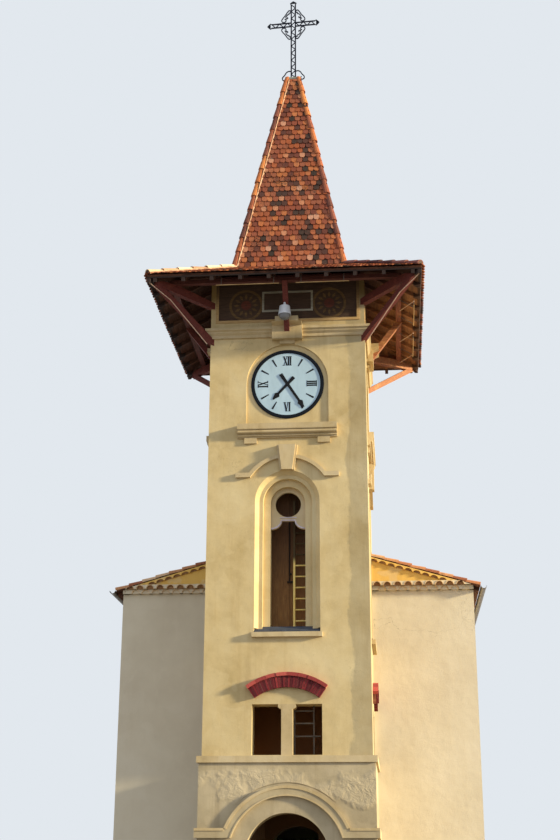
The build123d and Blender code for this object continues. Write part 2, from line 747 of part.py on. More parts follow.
rafter_fields = []
field_start = (HIP_RAFTER_WIDE + 2 * SEAT_GAP) / sqrt(2)
for turn in SIDES:
    along = Vector(1, 0, 0).rotate(Axis.Z, turn)
    with BuildPart() as field:
        for place in rafter_places():
            rafter_plane = section_plane(turn)
            rafter_plane.origin = along * place
            with BuildSketch(rafter_plane):
                Polygon(*rafter_section)
            extrude(amount=RAFTER_WIDE / 2, both=True)
        with BuildSketch(Plane.XY.rotated((0, 0, turn))):
            far_half = EAVE_HALF + field_start
            Polygon((0, -field_start), (-EAVE_HALF, -far_half), (EAVE_HALF, -far_half))
        extrude(amount=HIGH, mode=Mode.INTERSECT)
    rafter_fields.append(field.part)
with BuildPart() as rafters:
    add(hip_rafters.part)
    add(rafter_fields)
finish(rafters, "rafters")

# Corner outriggers under the hips, and the struts that carry them and the purlins
corner_out = TOWER_HALF * sqrt(2)
beam_end_out = BEAM_END_HALF * sqrt(2)
beam_rise = (PURLIN_LOW - BEAM_DEEP - BEAM_FOOT_Z) / (beam_end_out - corner_out)


def beam_low_z(out):
    """Height of a corner outrigger's underside at a distance along the diagonal."""
    return BEAM_FOOT_Z + (out - corner_out) * beam_rise


with BuildPart() as corner_beams:
    for turn in CORNERS:
        with BuildSketch(section_plane(turn)):
            purlin_corner = purlin_in * sqrt(2)
            Polygon(
                (corner_out - BEAM_WIDE, beam_low_z(corner_out - BEAM_WIDE)),
                (beam_end_out, beam_low_z(beam_end_out)),
                (beam_end_out, PURLIN_LOW),
                (purlin_corner - BEAM_WIDE, PURLIN_LOW),
                (corner_out - BEAM_WIDE, beam_low_z(corner_out - BEAM_WIDE) + BEAM_DEEP),
            )
        extrude(amount=BEAM_WIDE / 2, both=True)
    add(rafter_ring_sides, mode=Mode.SUBTRACT)
    with BuildSketch():
        Rectangle(2 * TOWER_HALF, 2 * TOWER_HALF)
    extrude(amount=HIGH, mode=Mode.SUBTRACT)
    with BuildSketch(Plane.XY.offset(deck_z(EAVE_HALF, rafter_low))):
        Rectangle(2 * EAVE_HALF, 2 * EAVE_HALF)
        Rectangle(2 * BEAM_END_HALF, 2 * BEAM_END_HALF, mode=Mode.SUBTRACT)
    extrude(amount=HIGH, mode=Mode.SUBTRACT)
finish(corner_beams, "corner_beams")

strut_head_out = CORNER_STRUT_HEAD_HALF * sqrt(2)
strut_turn = atan2(beam_low_z(strut_head_out) - CORNER_STRUT_FOOT_Z, strut_head_out - corner_out)
strut_side = STRUT_DEEP / 2
console_out = TOWER_HALF + CONSOLE_OUT
side_strut_steep = atan2(PURLIN_LOW - SIDE_STRUT_FOOT_Z, PURLIN_HALF - console_out)
foot_half = strut_side / cos(side_strut_steep)
head_half = strut_side / sin(side_strut_steep)
with BuildPart() as roof_struts:
    for turn in CORNERS:
        with BuildSketch(section_plane(turn)):
            with Locations(Location((corner_out, CORNER_STRUT_FOOT_Z, 0), (0, 0, degrees(strut_turn)))):
                block(-2 * STRUT_DEEP, 2 * strut_head_out, -strut_side, strut_side)
            Polygon(
                (0, beam_low_z(0)),
                (3 * strut_head_out, beam_low_z(3 * strut_head_out)),
                (3 * strut_head_out, HIGH),
                (0, HIGH),
                mode=Mode.SUBTRACT,
            )
        extrude(amount=STRUT_WIDE / 2, both=True)
    with BuildSketch():
        Rectangle(2 * TOWER_HALF, 2 * TOWER_HALF)
    extrude(amount=HIGH, mode=Mode.SUBTRACT)
    for turn in SIDES:
        with BuildSketch(section_plane(turn)):
            Polygon(
                (console_out, SIDE_STRUT_FOOT_Z - foot_half),
                (PURLIN_HALF + head_half, PURLIN_LOW),
                (PURLIN_HALF - head_half, PURLIN_LOW),
                (console_out, SIDE_STRUT_FOOT_Z + foot_half),
            )
        extrude(amount=STRUT_WIDE / 2, both=True)
finish(roof_struts, "roof_struts")

# Crowning cornice, built round the corner struts and cut for the consoles of the side struts
splay_high = CORNICE_LOW + CORNICE_BED + CORNICE_SPLAY
slab_low = splay_high + CORNICE_BAND + CORNICE_LIP
cornice_high = slab_low + CORNICE_SLAB
cornice_section = (
    (TOWER_HALF, CORNICE_LOW),
    (TOWER_HALF + CORNICE_BED_OUT, CORNICE_LOW),
    (TOWER_HALF + CORNICE_BED_OUT, CORNICE_LOW + CORNICE_BED),
    (TOWER_HALF + CORNICE_BAND_OUT, splay_high),
    (TOWER_HALF + CORNICE_BAND_OUT, splay_high + CORNICE_BAND),
    (TOWER_HALF + CORNICE_OUT, slab_low),
    (TOWER_HALF + CORNICE_OUT, cornice_high),
    (TOWER_HALF, cornice_high),
)
cornice_sides = [mitred_side(cornice_section, turn) for turn in SIDES]
with BuildPart() as top_cornice:
    add(cornice_sides)
    for turn in SIDES:
        with BuildSketch(side_plane(turn, TOWER_HALF)):
            block(-CONSOLE_HALF, CONSOLE_HALF, console_low, console_high)
        extrude(amount=2 * CORNICE_OUT, mode=Mode.SUBTRACT)
    add(roof_struts.part, mode=Mode.SUBTRACT)
finish(top_cornice, "top_cornice")

crown_low = console_high - CONSOLE_CROWN
foot_low = console_low - CONSOLE_FOOT
console_profile = (
    (TOWER_HALF, foot_low),
    (TOWER_HALF + CONSOLE_FOOT_OUT, foot_low),
    (TOWER_HALF + CONSOLE_FOOT_OUT, console_low),
    (console_out, console_low),
    (console_out, cornice_high),
    (TOWER_HALF + CONSOLE_CROWN_OUT, crown_low),
    (TOWER_HALF + CONSOLE_CROWN_OUT, console_high),
    (TOWER_HALF, console_high),
)
consoles = []
for turn in SIDES:
    with BuildPart() as console:
        with BuildSketch(section_plane(turn)):
            Polygon(*console_profile)
        extrude(amount=CONSOLE_HALF, both=True)
        with BuildSketch(side_plane(turn, TOWER_HALF)):
            block(-CONSOLE_FOOT_HALF, CONSOLE_FOOT_HALF, foot_low, console_low)
            block(-CONSOLE_HALF, CONSOLE_HALF, console_low, crown_low)
            block(-CONSOLE_CROWN_HALF, CONSOLE_CROWN_HALF, crown_low, console_high)
        extrude(amount=CONSOLE_CROWN_OUT, mode=Mode.INTERSECT)
    consoles.append(console.part)
with BuildPart() as cornice_consoles:
    add(consoles)
    add(roof_struts.part, mode=Mode.SUBTRACT)
finish(cornice_consoles, "cornice_consoles")

# Skirt roof: boarded deck and the layer of tiles on it
for name, section in (
    ("skirt_deck", layer(0, DECK, EAVE_HALF)),
    ("skirt_tiles", layer(-TILE_LAYER, 0, EAVE_HALF)),
):
    slopes = [mitred_side(section, turn) for turn in SIDES]
    with BuildPart() as roof_layer:
        add(slopes)
    finish(roof_layer, name)

# Spire: four leaning faces that stand on the tower's walls, hollow inside
spire_section = (
    (spire_half(WALL_TOP) - SPIRE_SHELL, WALL_TOP),
    (spire_half(WALL_TOP), WALL_TOP),
    (spire_half(CAP_LOW_Z), CAP_LOW_Z),
    (spire_half(CAP_LOW_Z) - SPIRE_SHELL, CAP_LOW_Z),
)
for name, turns in (("spire_front_rear", (FRONT, REAR)), ("spire_sides", (RIGHT, LEFT))):
    faces = [mitred_side(spire_section, turn) for turn in turns]
    with BuildPart() as spire_faces:
        add(faces)
    finish(spire_faces, name)


def frustum(low_half, low_z, high_half, high_z):
    """A square solid round the tower's axis that narrows evenly from one level to another."""
    with BuildPart() as solid:
        with BuildSketch(Plane.XY.offset(low_z)):
            Rectangle(2 * low_half, 2 * low_half)
        with BuildSketch(Plane.XY.offset(high_z)):
            Rectangle(2 * high_half, 2 * high_half)
        loft()
    return solid.part


with BuildPart() as spire_cap:
    add(frustum(spire_half(CAP_LOW_Z) + CAP_LIP, CAP_LOW_Z, SPIRE_TOP_HALF, SPIRE_TOP_Z))
finish(spire_cap, "spire_cap")

# Rounded hip tiles bedded on the corners of the spire and of the skirt
spire_mass = frustum(spire_half(WALL_TOP), WALL_TOP, spire_half(SPIRE_TOP_Z), SPIRE_TOP_Z)
tile_top = at_spire(-TILE_LAYER)
mass_low, mass_high = 1.5 * EAVE_HALF, 0.5 * tile_top[0]
skirt_mass = frustum(mass_low, deck_z(mass_low, -TILE_LAYER), mass_high, deck_z(mass_high, -TILE_LAYER))


def hip_roll(low, high, turn):
    """A round bar from one point of a corner to another, each given as (distance out, height)."""
    start = outward(turn, low[0] * sqrt(2)) + Vector(0, 0, low[1])
    end = outward(turn, high[0] * sqrt(2)) + Vector(0, 0, high[1])
    with BuildPart() as roll:
        with BuildSketch(Plane(origin=start, z_dir=end - start)):
            Circle(HIP_TILE_R)
        extrude(amount=(end - start).length)
    return roll.part


cap_foot = (spire_half(CAP_LOW_Z), CAP_LOW_Z)
eave_corner = (EAVE_HALF, deck_z(EAVE_HALF, -TILE_LAYER))
hip_stretches = ((eave_corner, tile_top), (tile_top, cap_foot))
hip_rolls = [hip_roll(low, high, turn) for turn in CORNERS for low, high in hip_stretches]
with BuildPart() as hip_tiles:
    add(hip_rolls)
    add(spire_mass, mode=Mode.SUBTRACT)
    add(skirt_mass, mode=Mode.SUBTRACT)
    add(spire_cap.part, mode=Mode.SUBTRACT)
    with BuildSketch():
        Rectangle(2 * EAVE_HALF, 2 * EAVE_HALF)
    extrude(amount=HIGH, mode=Mode.INTERSECT)
finish(hip_tiles, "hip_tiles")

# Wrought iron cross: open post and arms with zigzag filling, leaf ends and scrolls
cross_bar_x = CROSS_BAR_SPREAD / 2


def cross_limb(start, end, turn, centre):
    """One open limb of the cross in the open sketch, from `start` to `end` along its length."""
    bays = max(1, round((end - start) / CROSS_BAR_SPREAD))
    bay = (end - start) / bays
    with Locations(Location((0, centre, 0), (0, 0, turn))):
        for edge in (-cross_bar_x, cross_bar_x):
            block(start, end, edge - CROSS_BAR / 2, edge + CROSS_BAR / 2)
        for number in range(bays):
            low = cross_bar_x * (-1) ** number
            foot = start + number * bay
            lace = CROSS_LACE / 2
            far = foot + bay
            Polygon((foot, low - lace), (far, -low - lace), (far, -low + lace), (foot, low + lace))
        Polygon(
            (end - CROSS_BAR, -cross_bar_x - CROSS_BAR / 2),
            (end + CROSS_WING_AT * CROSS_LEAF, -CROSS_WING_HALF),
            (end + CROSS_LEAF, 0),
            (end + CROSS_WING_AT * CROSS_LEAF, CROSS_WING_HALF),
            (end - CROSS_BAR, cross_bar_x + CROSS_BAR / 2),
        )


def cross_scroll(points, side, way, centre):
    """A curled scroll beside the post, through points given as (distance out, height from the centre)."""
    places = [(side * x, centre + way * z) for x, z in points]
    with BuildLine() as curl:
        for number in range(0, len(places) - 2, 2):
            ThreePointArc(*places[number:number + 3])
    trace(curl.edges(), line_width=CROSS_LACE)


with BuildPart() as cross:
    with BuildSketch(Plane.XZ.offset(-CROSS_THICK / 2).rotated((0, 0, CROSS_TURN))):
        cross_limb(SPIRE_TOP_Z, cross_top_z - CROSS_LEAF, 90, 0)
        cross_limb(cross_bar_x, CROSS_ARM_REACH - CROSS_LEAF, 0, cross_arm_z)
        cross_limb(cross_bar_x, CROSS_ARM_REACH - CROSS_LEAF, 180, cross_arm_z)
        for side in (-1, 1):
            cross_scroll(CROSS_SCROLL, side, 1, cross_arm_z)
            cross_scroll(CROSS_SCROLL, side, -1, cross_arm_z)
            cross_scroll(CROSS_FOOT_SCROLL, side, 1, SPIRE_TOP_Z)
    extrude(amount=CROSS_THICK)
finish(cross, "cross")

# Belfry: boarded screens behind the niches, a ladder before the front one
screen_out = inner_half - SCREEN_SET_BACK
with BuildPart() as belfry_screens:
    for turn in DRESSED_SIDES:
        with BuildSketch(side_plane(turn, screen_out)):
            for low_x, high_x in ((-SCREEN_HALF, -SCREEN_JOINT / 2), (SCREEN_JOINT / 2, SCREEN_HALF)):
                block(low_x, high_x, BELFRY_FLOOR_TOP, SCREEN_TOP)
        extrude(amount=-SCREEN_THICK)
finish(belfry_screens, "belfry_screens")

ladder_out = inner_half - SCREEN_SET_BACK / 2
with BuildPart() as belfry_ladder:
    with BuildSketch(side_plane(FRONT, ladder_out - LADDER_DEEP / 2)):
        for edge in (LADDER_X - LADDER_HALF, LADDER_X + LADDER_HALF):
            block(edge - LADDER_STILE / 2, edge + LADDER_STILE / 2, BELFRY_FLOOR_TOP, LADDER_TOP)
    extrude(amount=LADDER_DEEP)
    rung_z = BELFRY_FLOOR_TOP + RUNG_PITCH
    while rung_z < LADDER_TOP - RUNG_PITCH / 2:
        with BuildSketch(side_plane(RIGHT, LADDER_X - LADDER_HALF)):
            with Locations((-ladder_out, rung_z)):
                RegularPolygon(RUNG_R, 8)
        extrude(amount=2 * LADDER_HALF)
        rung_z += RUNG_PITCH
finish(belfry_ladder, "belfry_ladder")

# White dome of a lamp, hung from the front strut
lamp_lower, lamp_shoulder = ((LAMP_R * x, LAMP_HIGH * z) for x, z in (LAMP_LOWER, LAMP_SHOULDER))
with BuildPart() as dome_lamp:
    with BuildSketch(Plane(origin=(LAMP_X, -LAMP_OUT, LAMP_LOW), x_dir=(1, 0, 0), z_dir=(0, -1, 0))):
        with BuildLine():
            ThreePointArc((0, 0), lamp_lower, lamp_shoulder)
            Polyline(lamp_shoulder, (LAMP_R, lamp_shoulder[1]), (LAMP_HEAD * LAMP_R, LAMP_HIGH),
                     (0, LAMP_HIGH), (0, 0))
        make_face()
    revolve(axis=Axis((LAMP_X, -LAMP_OUT, 0), (0, 0, 1)))
    with BuildSketch(Plane.XY.offset(LAMP_LOW + LAMP_HIGH / 2)):
        with Locations((LAMP_X, -LAMP_OUT)):
            Circle(LAMP_STEM * LAMP_R)
    extrude(amount=LAMP_HIGH)
    add(roof_struts.part, mode=Mode.SUBTRACT)
finish(dome_lamp, "dome_lamp")

# Entrance door: two arched leaves on pintles behind the wall, standing open
hinge_out = inner_half - LEAF_WALL_GAP - LEAF_THICK / 2
hinge_x = DOOR_RADIUS + LEAF_LAP
leaf_low = FLOOR_THICK + LEAF_FLOOR_GAP
leaf_r = hinge_x


def leaf_plane(side):
    """Upright plane through a leaf's hinge, along the leaf as it stands open."""
    along = Vector(-side, 0, 0).rotate(Axis.Z, -side * LEAF_OPEN)
    return Plane(origin=(side * hinge_x, -hinge_out, 0), x_dir=along, z_dir=along.cross(Vector(0, 0, 1)))


for name, side in (("entrance_door_left", -1), ("entrance_door_right", 1)):
    with BuildPart() as leaf:
        with BuildSketch(leaf_plane(side)):
            block(0, leaf_r - LEAF_MEETING_GAP / 2, leaf_low, DOOR_SPRING + leaf_r)
            with BuildSketch(mode=Mode.PRIVATE) as head:
                arch(leaf_r, leaf_low, DOOR_SPRING)
            add(head.sketch.moved(Location((leaf_r, 0, 0))), mode=Mode.INTERSECT)
        extrude(amount=LEAF_THICK / 2, both=True)
        with BuildSketch(Plane(origin=(side * hinge_x, -hinge_out, leaf_low))):
            Circle(LEAF_THICK / 2)
        extrude(amount=DOOR_SPRING - leaf_low)
        for level in PINTLE_Z:
            with BuildSketch(Plane(origin=(side * hinge_x, -hinge_out, level))):
                Circle(PINTLE_NOTCH)
            extrude(amount=PINTLE_NOTCH, mode=Mode.SUBTRACT)
            with BuildSketch(Plane(origin=(side * hinge_x, -hinge_out, level + PINTLE_NOTCH))):
                Circle(PINTLE_R + RUNNING_GAP)
            extrude(amount=PINTLE_PIN + RUNNING_GAP, mode=Mode.SUBTRACT)
    finish(leaf, name)

with BuildPart() as door_pintles:
    for side in (-1, 1):
        for level in PINTLE_Z:
            bracket_top = level + PINTLE_NOTCH - RUNNING_GAP
            with BuildSketch(Plane.XY.offset(bracket_top - PINTLE_BRACKET)):
                bracket_low_x = side * hinge_x - PINTLE_BRACKET / 2
                block(bracket_low_x, bracket_low_x + PINTLE_BRACKET, -inner_half, -hinge_out)
                with Locations((side * hinge_x, -hinge_out)):
                    Circle(PINTLE_BRACKET / 2)
            extrude(amount=PINTLE_BRACKET)
            with BuildSketch(Plane.XY.offset(bracket_top)):
                with Locations((side * hinge_x, -hinge_out)):
                    Circle(PINTLE_R)
            extrude(amount=PINTLE_PIN)
finish(door_pintles, "door_pintles")

# Nave: walls, floor and roof behind the tower
nave_inner = NAVE_HALF - NAVE_WALL
for name, side in (("nave_front_left", -1), ("nave_front_right", 1)):
    with BuildPart() as nave_front:
        with BuildSketch(side_plane(FRONT, -NAVE_FRONT_Y)):
            Polygon(
                (side * base_half, 0),
                (side * NAVE_HALF, 0),
                (side * NAVE_HALF, nave_roof_z(NAVE_HALF, NAVE_ROOF_THICK)),
                (side * TOWER_HALF, nave_roof_z(TOWER_HALF, NAVE_ROOF_THICK)),
                (side * TOWER_HALF, BASE_TOP),
                (side * base_half, BASE_TOP),
            )
        extrude(amount=-NAVE_WALL)
    finish(nave_front, name)

with BuildPart() as nave_side_walls:
    for side in (-1, 1):
        with BuildSketch(side_plane(FRONT, -NAVE_FRONT_Y - NAVE_WALL)):
            Polygon(
                (side * nave_inner, 0),
                (side * NAVE_HALF, 0),
                (side * NAVE_HALF, nave_roof_z(NAVE_HALF, NAVE_ROOF_THICK)),
                (side * nave_inner, nave_roof_z(nave_inner, NAVE_ROOF_THICK)),
            )
        extrude(amount=-(NAVE_LENGTH - 2 * NAVE_WALL))
finish(nave_side_walls, "nave_side_walls")

with BuildPart() as nave_rear_wall:
    with BuildSketch(side_plane(REAR, nave_rear_y)):
        Polygon(
            (-NAVE_HALF, 0),
            (NAVE_HALF, 0),
            (NAVE_HALF, nave_roof_z(NAVE_HALF, NAVE_ROOF_THICK)),
            (0, nave_roof_z(0, NAVE_ROOF_THICK)),
            (-NAVE_HALF, nave_roof_z(NAVE_HALF, NAVE_ROOF_THICK)),
        )
    extrude(amount=-NAVE_WALL)
finish(nave_rear_wall, "nave_rear_wall")

with BuildPart() as nave_floor:
    with BuildSketch():
        block(-nave_inner, nave_inner, NAVE_FRONT_Y + NAVE_WALL, nave_rear_y - NAVE_WALL)
        block(-base_half, base_half, 0, TOWER_HALF, Mode.SUBTRACT)
    extrude(amount=FLOOR_THICK)
finish(nave_floor, "nave_floor")

# Each slope is a slab between the gables with a thinner layer of tiles out over the verges, and a rib
# for every row of cover tiles
roof_long = NAVE_LENGTH + 2 * NAVE_VERGE
cover_pitch = roof_long / COVER_ROWS
cover_long = NAVE_ROOF_EDGE / nave_cos - 1.1 * RIDGE_TILE_R
for name, side in (("nave_roof_left", -1), ("nave_roof_right", 1)):
    down = Vector(side * nave_cos, 0, -nave_cos * nave_rise)
    with BuildPart() as nave_roof:
        for overhang, thick in ((NAVE_VERGE, VERGE_THICK), (0, NAVE_ROOF_THICK)):
            with BuildSketch(side_plane(FRONT, -NAVE_FRONT_Y + overhang)):
                Polygon(
                    (0, nave_roof_z(0, thick)),
                    (side * NAVE_ROOF_EDGE, nave_roof_z(NAVE_ROOF_EDGE, thick)),
                    (side * NAVE_ROOF_EDGE, nave_roof_z(NAVE_ROOF_EDGE)),
                    (0, nave_roof_z(0)),
                )
            extrude(amount=-(NAVE_LENGTH + 2 * overhang))
        eave = Vector(side * NAVE_ROOF_EDGE, 0, nave_roof_z(NAVE_ROOF_EDGE))
        with BuildSketch(Plane(origin=eave, x_dir=(0, side, 0), z_dir=down)):
            for number in range(COVER_ROWS):
                middle = side * (NAVE_FRONT_Y - NAVE_VERGE + (number + 0.5) * cover_pitch)
                Polygon(
                    (middle - COVER_HALF, -VERGE_THICK / 2),
                    (middle + COVER_HALF, -VERGE_THICK / 2),
                    (middle + COVER_HALF, 0),
                    (middle + COVER_TOP_HALF, COVER_HIGH),
                    (middle - COVER_TOP_HALF, COVER_HIGH),
                    (middle - COVER_HALF, 0),
                )
        extrude(amount=-cover_long)
        with BuildSketch():
            Rectangle(2 * TOWER_HALF, 2 * TOWER_HALF)
        extrude(amount=HIGH, mode=Mode.SUBTRACT)
    finish(nave_roof, name)

with BuildPart() as nave_ridge_tiles:
    with BuildSketch(side_plane(REAR, TOWER_HALF)):
        with Locations((0, NAVE_RIDGE_Z - RIDGE_TILE_R / 3)):
            Circle(RIDGE_TILE_R)
        Polygon((0, NAVE_RIDGE_Z), (NAVE_HALF, nave_roof_z(NAVE_HALF)), (-NAVE_HALF, nave_roof_z(NAVE_HALF)),
                mode=Mode.SUBTRACT)
    extrude(amount=nave_rear_y + NAVE_VERGE - TOWER_HALF)
finish(nave_ridge_tiles, "nave_ridge_tiles")

# Two rows of projecting tiles across the gables, and a band of them up each rake under the verge
genoise_top = GENOISE_LOW + 2 * GENOISE_ROW
tiles_underside = (
    (0, nave_roof_z(0, VERGE_THICK)),
    (2 * NAVE_HALF, nave_roof_z(2 * NAVE_HALF, VERGE_THICK)),
    (-2 * NAVE_HALF, nave_roof_z(2 * NAVE_HALF, VERGE_THICK)),
)
with BuildPart() as genoise:
    for plane, low_x, high_x in (
        (side_plane(FRONT, -NAVE_FRONT_Y), TOWER_HALF, NAVE_HALF),
        (side_plane(FRONT, -NAVE_FRONT_Y), -NAVE_HALF, -TOWER_HALF),
        (side_plane(REAR, nave_rear_y), -NAVE_HALF, NAVE_HALF),
    ):
        for row in (0, 1):
            with BuildSketch(plane):
                low_z = GENOISE_LOW + row * GENOISE_ROW
                block(low_x, high_x, low_z, low_z + GENOISE_ROW)
                Polygon(*tiles_underside, mode=Mode.INTERSECT)
            extrude(amount=(row + 1) * GENOISE_STEP)
        with BuildSketch(plane):
            block(low_x, high_x, genoise_top, NAVE_RIDGE_Z)
            Polygon(*tiles_underside, mode=Mode.INTERSECT)
            Polygon(
                (0, nave_roof_z(0, NAVE_ROOF_THICK)),
                (2 * NAVE_HALF, nave_roof_z(2 * NAVE_HALF, NAVE_ROOF_THICK)),
                (-2 * NAVE_HALF, nave_roof_z(2 * NAVE_HALF, NAVE_ROOF_THICK)),
                mode=Mode.SUBTRACT,
            )
        extrude(amount=2 * GENOISE_STEP)
finish(genoise, "genoise")

with BuildPart() as gutters:
    for side in (-1, 1):
        with BuildSketch(side_plane(FRONT, -NAVE_FRONT_Y + NAVE_VERGE)):
            gutter_top = nave_roof_z(NAVE_ROOF_EDGE) - GUTTER_R / 2
            with Locations((side * (NAVE_ROOF_EDGE + GUTTER_R), gutter_top)):
                Circle(GUTTER_R)
                Circle(GUTTER_R - GUTTER_SKIN, mode=Mode.SUBTRACT)
            block(-2 * NAVE_HALF, 2 * NAVE_HALF, gutter_top, gutter_top + 2 * GUTTER_R, Mode.SUBTRACT)
        extrude(amount=-(NAVE_LENGTH + 2 * NAVE_VERGE))
finish(gutters, "gutters")
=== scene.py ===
# %% [markdown]
# # A chapel with a square bell tower
# The walls, timbers, floors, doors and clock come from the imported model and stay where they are.
# This lesson dresses them: every surface gets a finish, and the small things that repeat, such as
# tiles, bricks and boards, are laid by Geometry Nodes. All lengths are in metres.

# %% The frame
import math

import bmesh
import bpy
from mathutils import Matrix, Vector


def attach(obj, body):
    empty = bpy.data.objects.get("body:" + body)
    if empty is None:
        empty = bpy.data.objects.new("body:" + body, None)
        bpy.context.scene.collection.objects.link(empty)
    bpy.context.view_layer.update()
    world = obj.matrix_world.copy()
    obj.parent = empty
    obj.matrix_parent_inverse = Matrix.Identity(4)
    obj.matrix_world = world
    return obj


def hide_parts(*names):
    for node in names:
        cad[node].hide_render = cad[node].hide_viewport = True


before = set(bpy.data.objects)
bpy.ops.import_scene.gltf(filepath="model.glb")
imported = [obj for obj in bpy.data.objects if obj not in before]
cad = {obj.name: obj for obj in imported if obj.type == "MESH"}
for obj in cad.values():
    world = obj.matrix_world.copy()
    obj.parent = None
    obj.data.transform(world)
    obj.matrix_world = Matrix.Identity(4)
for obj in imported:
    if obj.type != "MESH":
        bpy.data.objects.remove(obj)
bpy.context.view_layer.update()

# %% [markdown]
# ## Turning, shifting and circles
# Nearly every piece is drawn flat at the origin and then carried to its place. Two short names for
# Blender's matrices, and one for the points of a circle, keep the later cells easy to read.


# %% Turning, shifting and circles
def spin(degrees, axis="Z"):
    return Matrix.Rotation(math.radians(degrees), 4, axis)


def shift(x, y, z):
    return Matrix.Translation((x, y, z))


def circle(radius, sides):
    return [(radius * math.cos(2 * math.pi * k / sides), radius * math.sin(2 * math.pi * k / sides))
            for k in range(sides)]


def half_circle(radius, steps):
    """Points from the right over the top to the left."""
    return [(radius * math.cos(math.pi * k / steps), radius * math.sin(math.pi * k / steps))
            for k in range(steps + 1)]


print("a quarter turn carries X to", tuple(round(c, 3) for c in spin(90) @ Vector((1, 0, 0))))

# %% [markdown]
# ## Camera
# The picture was taken from the street at eye height, a little to the right of the tower and tilted
# up. A camera can be set by eye, but here its place, turn and lens come from fitting the tower's
# edges, sills and eaves, because then the render can be laid over the picture.

# %% Camera
CAMERA_PLACE = Vector((2.32, -30.049, 1.6))
CAMERA_YAW, CAMERA_PITCH, CAMERA_ROLL = 5.032, 19.146, 0.19
LENS_LONG, SENSOR_WIDE, FAR_CLIP = 56.45, 36.0, 1000.0
camera_turn = spin(CAMERA_YAW) @ spin(90 + CAMERA_PITCH, "X") @ spin(CAMERA_ROLL)
camera = bpy.data.objects.new("camera", bpy.data.cameras.new("camera"))
camera.data.lens, camera.data.sensor_width, camera.data.clip_end = LENS_LONG, SENSOR_WIDE, FAR_CLIP
camera.matrix_world = Matrix.Translation(CAMERA_PLACE) @ camera_turn
bpy.context.scene.collection.objects.link(camera)
bpy.context.scene.camera = camera
print("camera looks along", tuple(camera_turn @ Vector((0, 0, -1))))

# %% [markdown]
# ## Helpers for node trees
# Shaders and geometry trees are both built from nodes. `put` adds one node, sets or links its inputs
# by name or number, and gives back the output that is in use. Every link could be written out, but
# then a tree reads like a list of wires, and with `put` it reads like a sum.


# %% Node helpers
def socket_of(sockets, key):
    """The socket with this number, or the one in use with this name."""
    if isinstance(key, int):
        return sockets[key]
    return next(s for s in sockets if s.name == key and s.enabled)


def put(tree, kind, inputs=None, **settings):
    """Adds a node to a tree and returns its first output in use."""
    node = tree.nodes.new(kind)
    for name, value in settings.items():
        setattr(node, name, value)
    for key, value in (inputs or {}).items():
        socket = socket_of(node.inputs, key)
        if isinstance(value, bpy.types.NodeSocket):
            tree.links.new(value, socket)
        else:
            socket.default_value = value
    return next((s for s in node.outputs if s.enabled), None)


def maths(tree, operation, *values):
    return put(tree, "ShaderNodeMath", dict(enumerate(values)), operation=operation)


def times(tree, a, b):
    return maths(tree, "MULTIPLY", a, b)


def plus(tree, a, b):
    return maths(tree, "ADD", a, b)


# %% [markdown]
# ## Colours
# A maker reads a colour off a screen, where steps of brightness are not even steps of light. Shaders
# count light. So colours are written as they are seen, and one helper turns them into shares of light.


# %% Colours
def paint(red, green, blue):
    """A colour given as it is seen on screen, from 0 to 255, as the linear values shaders use."""
    shares = [c / 255 for c in (red, green, blue)]
    return (*[c / 12.92 if c <= 0.04045 else ((c + 0.055) / 1.055) ** 2.4 for c in shares], 1.0)


print("half way to white on a screen is", round(paint(128, 128, 128)[0], 3), "of full light")

# %% [markdown]
# ## Light from all round
# The open sky lights the building evenly. An image of a sky could do this, but one plain colour is
# easier to balance. The pale background is another colour, which only camera, mirror and clear rays
# see, so that it lights nothing.

# %% World
BACKGROUND = paint(226, 232, 238)
FILL, FILL_STRENGTH = (0.745, 0.836, 1.0, 1.0), 0.98


def seen_directly(tree):
    """1 for rays that draw the picture's background: from the camera, or mirrored or let through."""
    path = tree.nodes.new("ShaderNodeLightPath")
    direct = maths(tree, "MAXIMUM", path.outputs["Is Camera Ray"], path.outputs["Is Glossy Ray"])
    return maths(tree, "MAXIMUM", direct, path.outputs["Is Transmission Ray"])


world = bpy.data.worlds.new("world")
world.use_nodes = True
sky = world.node_tree
sky.nodes.clear()
fill = put(sky, "ShaderNodeBackground", {"Color": FILL, "Strength": FILL_STRENGTH})
backdrop = put(sky, "ShaderNodeBackground", {"Color": BACKGROUND, "Strength": 1.0})
put(sky, "ShaderNodeOutputWorld", {
    "Surface": put(sky, "ShaderNodeMixShader", {0: seen_directly(sky), 1: fill, 2: backdrop}),
})
bpy.context.scene.world = world
print("the world gives", FILL_STRENGTH, "of a cool fill")

# %% [markdown]
# ## Floor
# A wide plain disc stands for the ground and takes the building's shadow. Its pale colour is for the
# camera alone. What it throws back up at the walls is darker, as from a street.

# %% Floor
FLOOR_COLOUR, FLOOR_BOUNCE = paint(222, 220, 215), paint(120, 112, 100)
FLOOR_RADIUS, FLOOR_SIDES, FLOOR_ROUGH = 300.0, 96, 0.9
floor_finish = bpy.data.materials.new("pale_floor")
floor_finish.use_nodes = True
floor_tree = floor_finish.node_tree
floor_shader = floor_tree.nodes["Principled BSDF"]
floor_shader.inputs["Roughness"].default_value = FLOOR_ROUGH
floor_tree.links.new(
    put(floor_tree, "ShaderNodeMix",
        {"Factor": seen_directly(floor_tree), "A": FLOOR_BOUNCE, "B": FLOOR_COLOUR}, data_type="RGBA"),
    floor_shader.inputs["Base Color"],
)
floor_mesh = bpy.data.meshes.new("floor")
floor_mesh.from_pydata([(x, y, 0) for x, y in circle(FLOOR_RADIUS, FLOOR_SIDES)], [],
                       [tuple(range(FLOOR_SIDES))])
floor_mesh.materials.append(floor_finish)
floor = bpy.data.objects.new("floor", floor_mesh)
bpy.context.scene.collection.objects.link(floor)
print("the floor reaches", FLOOR_RADIUS, "m out")

# %% [markdown]
# ## Key light
# The low sun stands far to the right, so it grazes the front and falls full on the right side. A sun
# lamp gives level light at any distance, and its angle sets how soft the shadows' edges are.

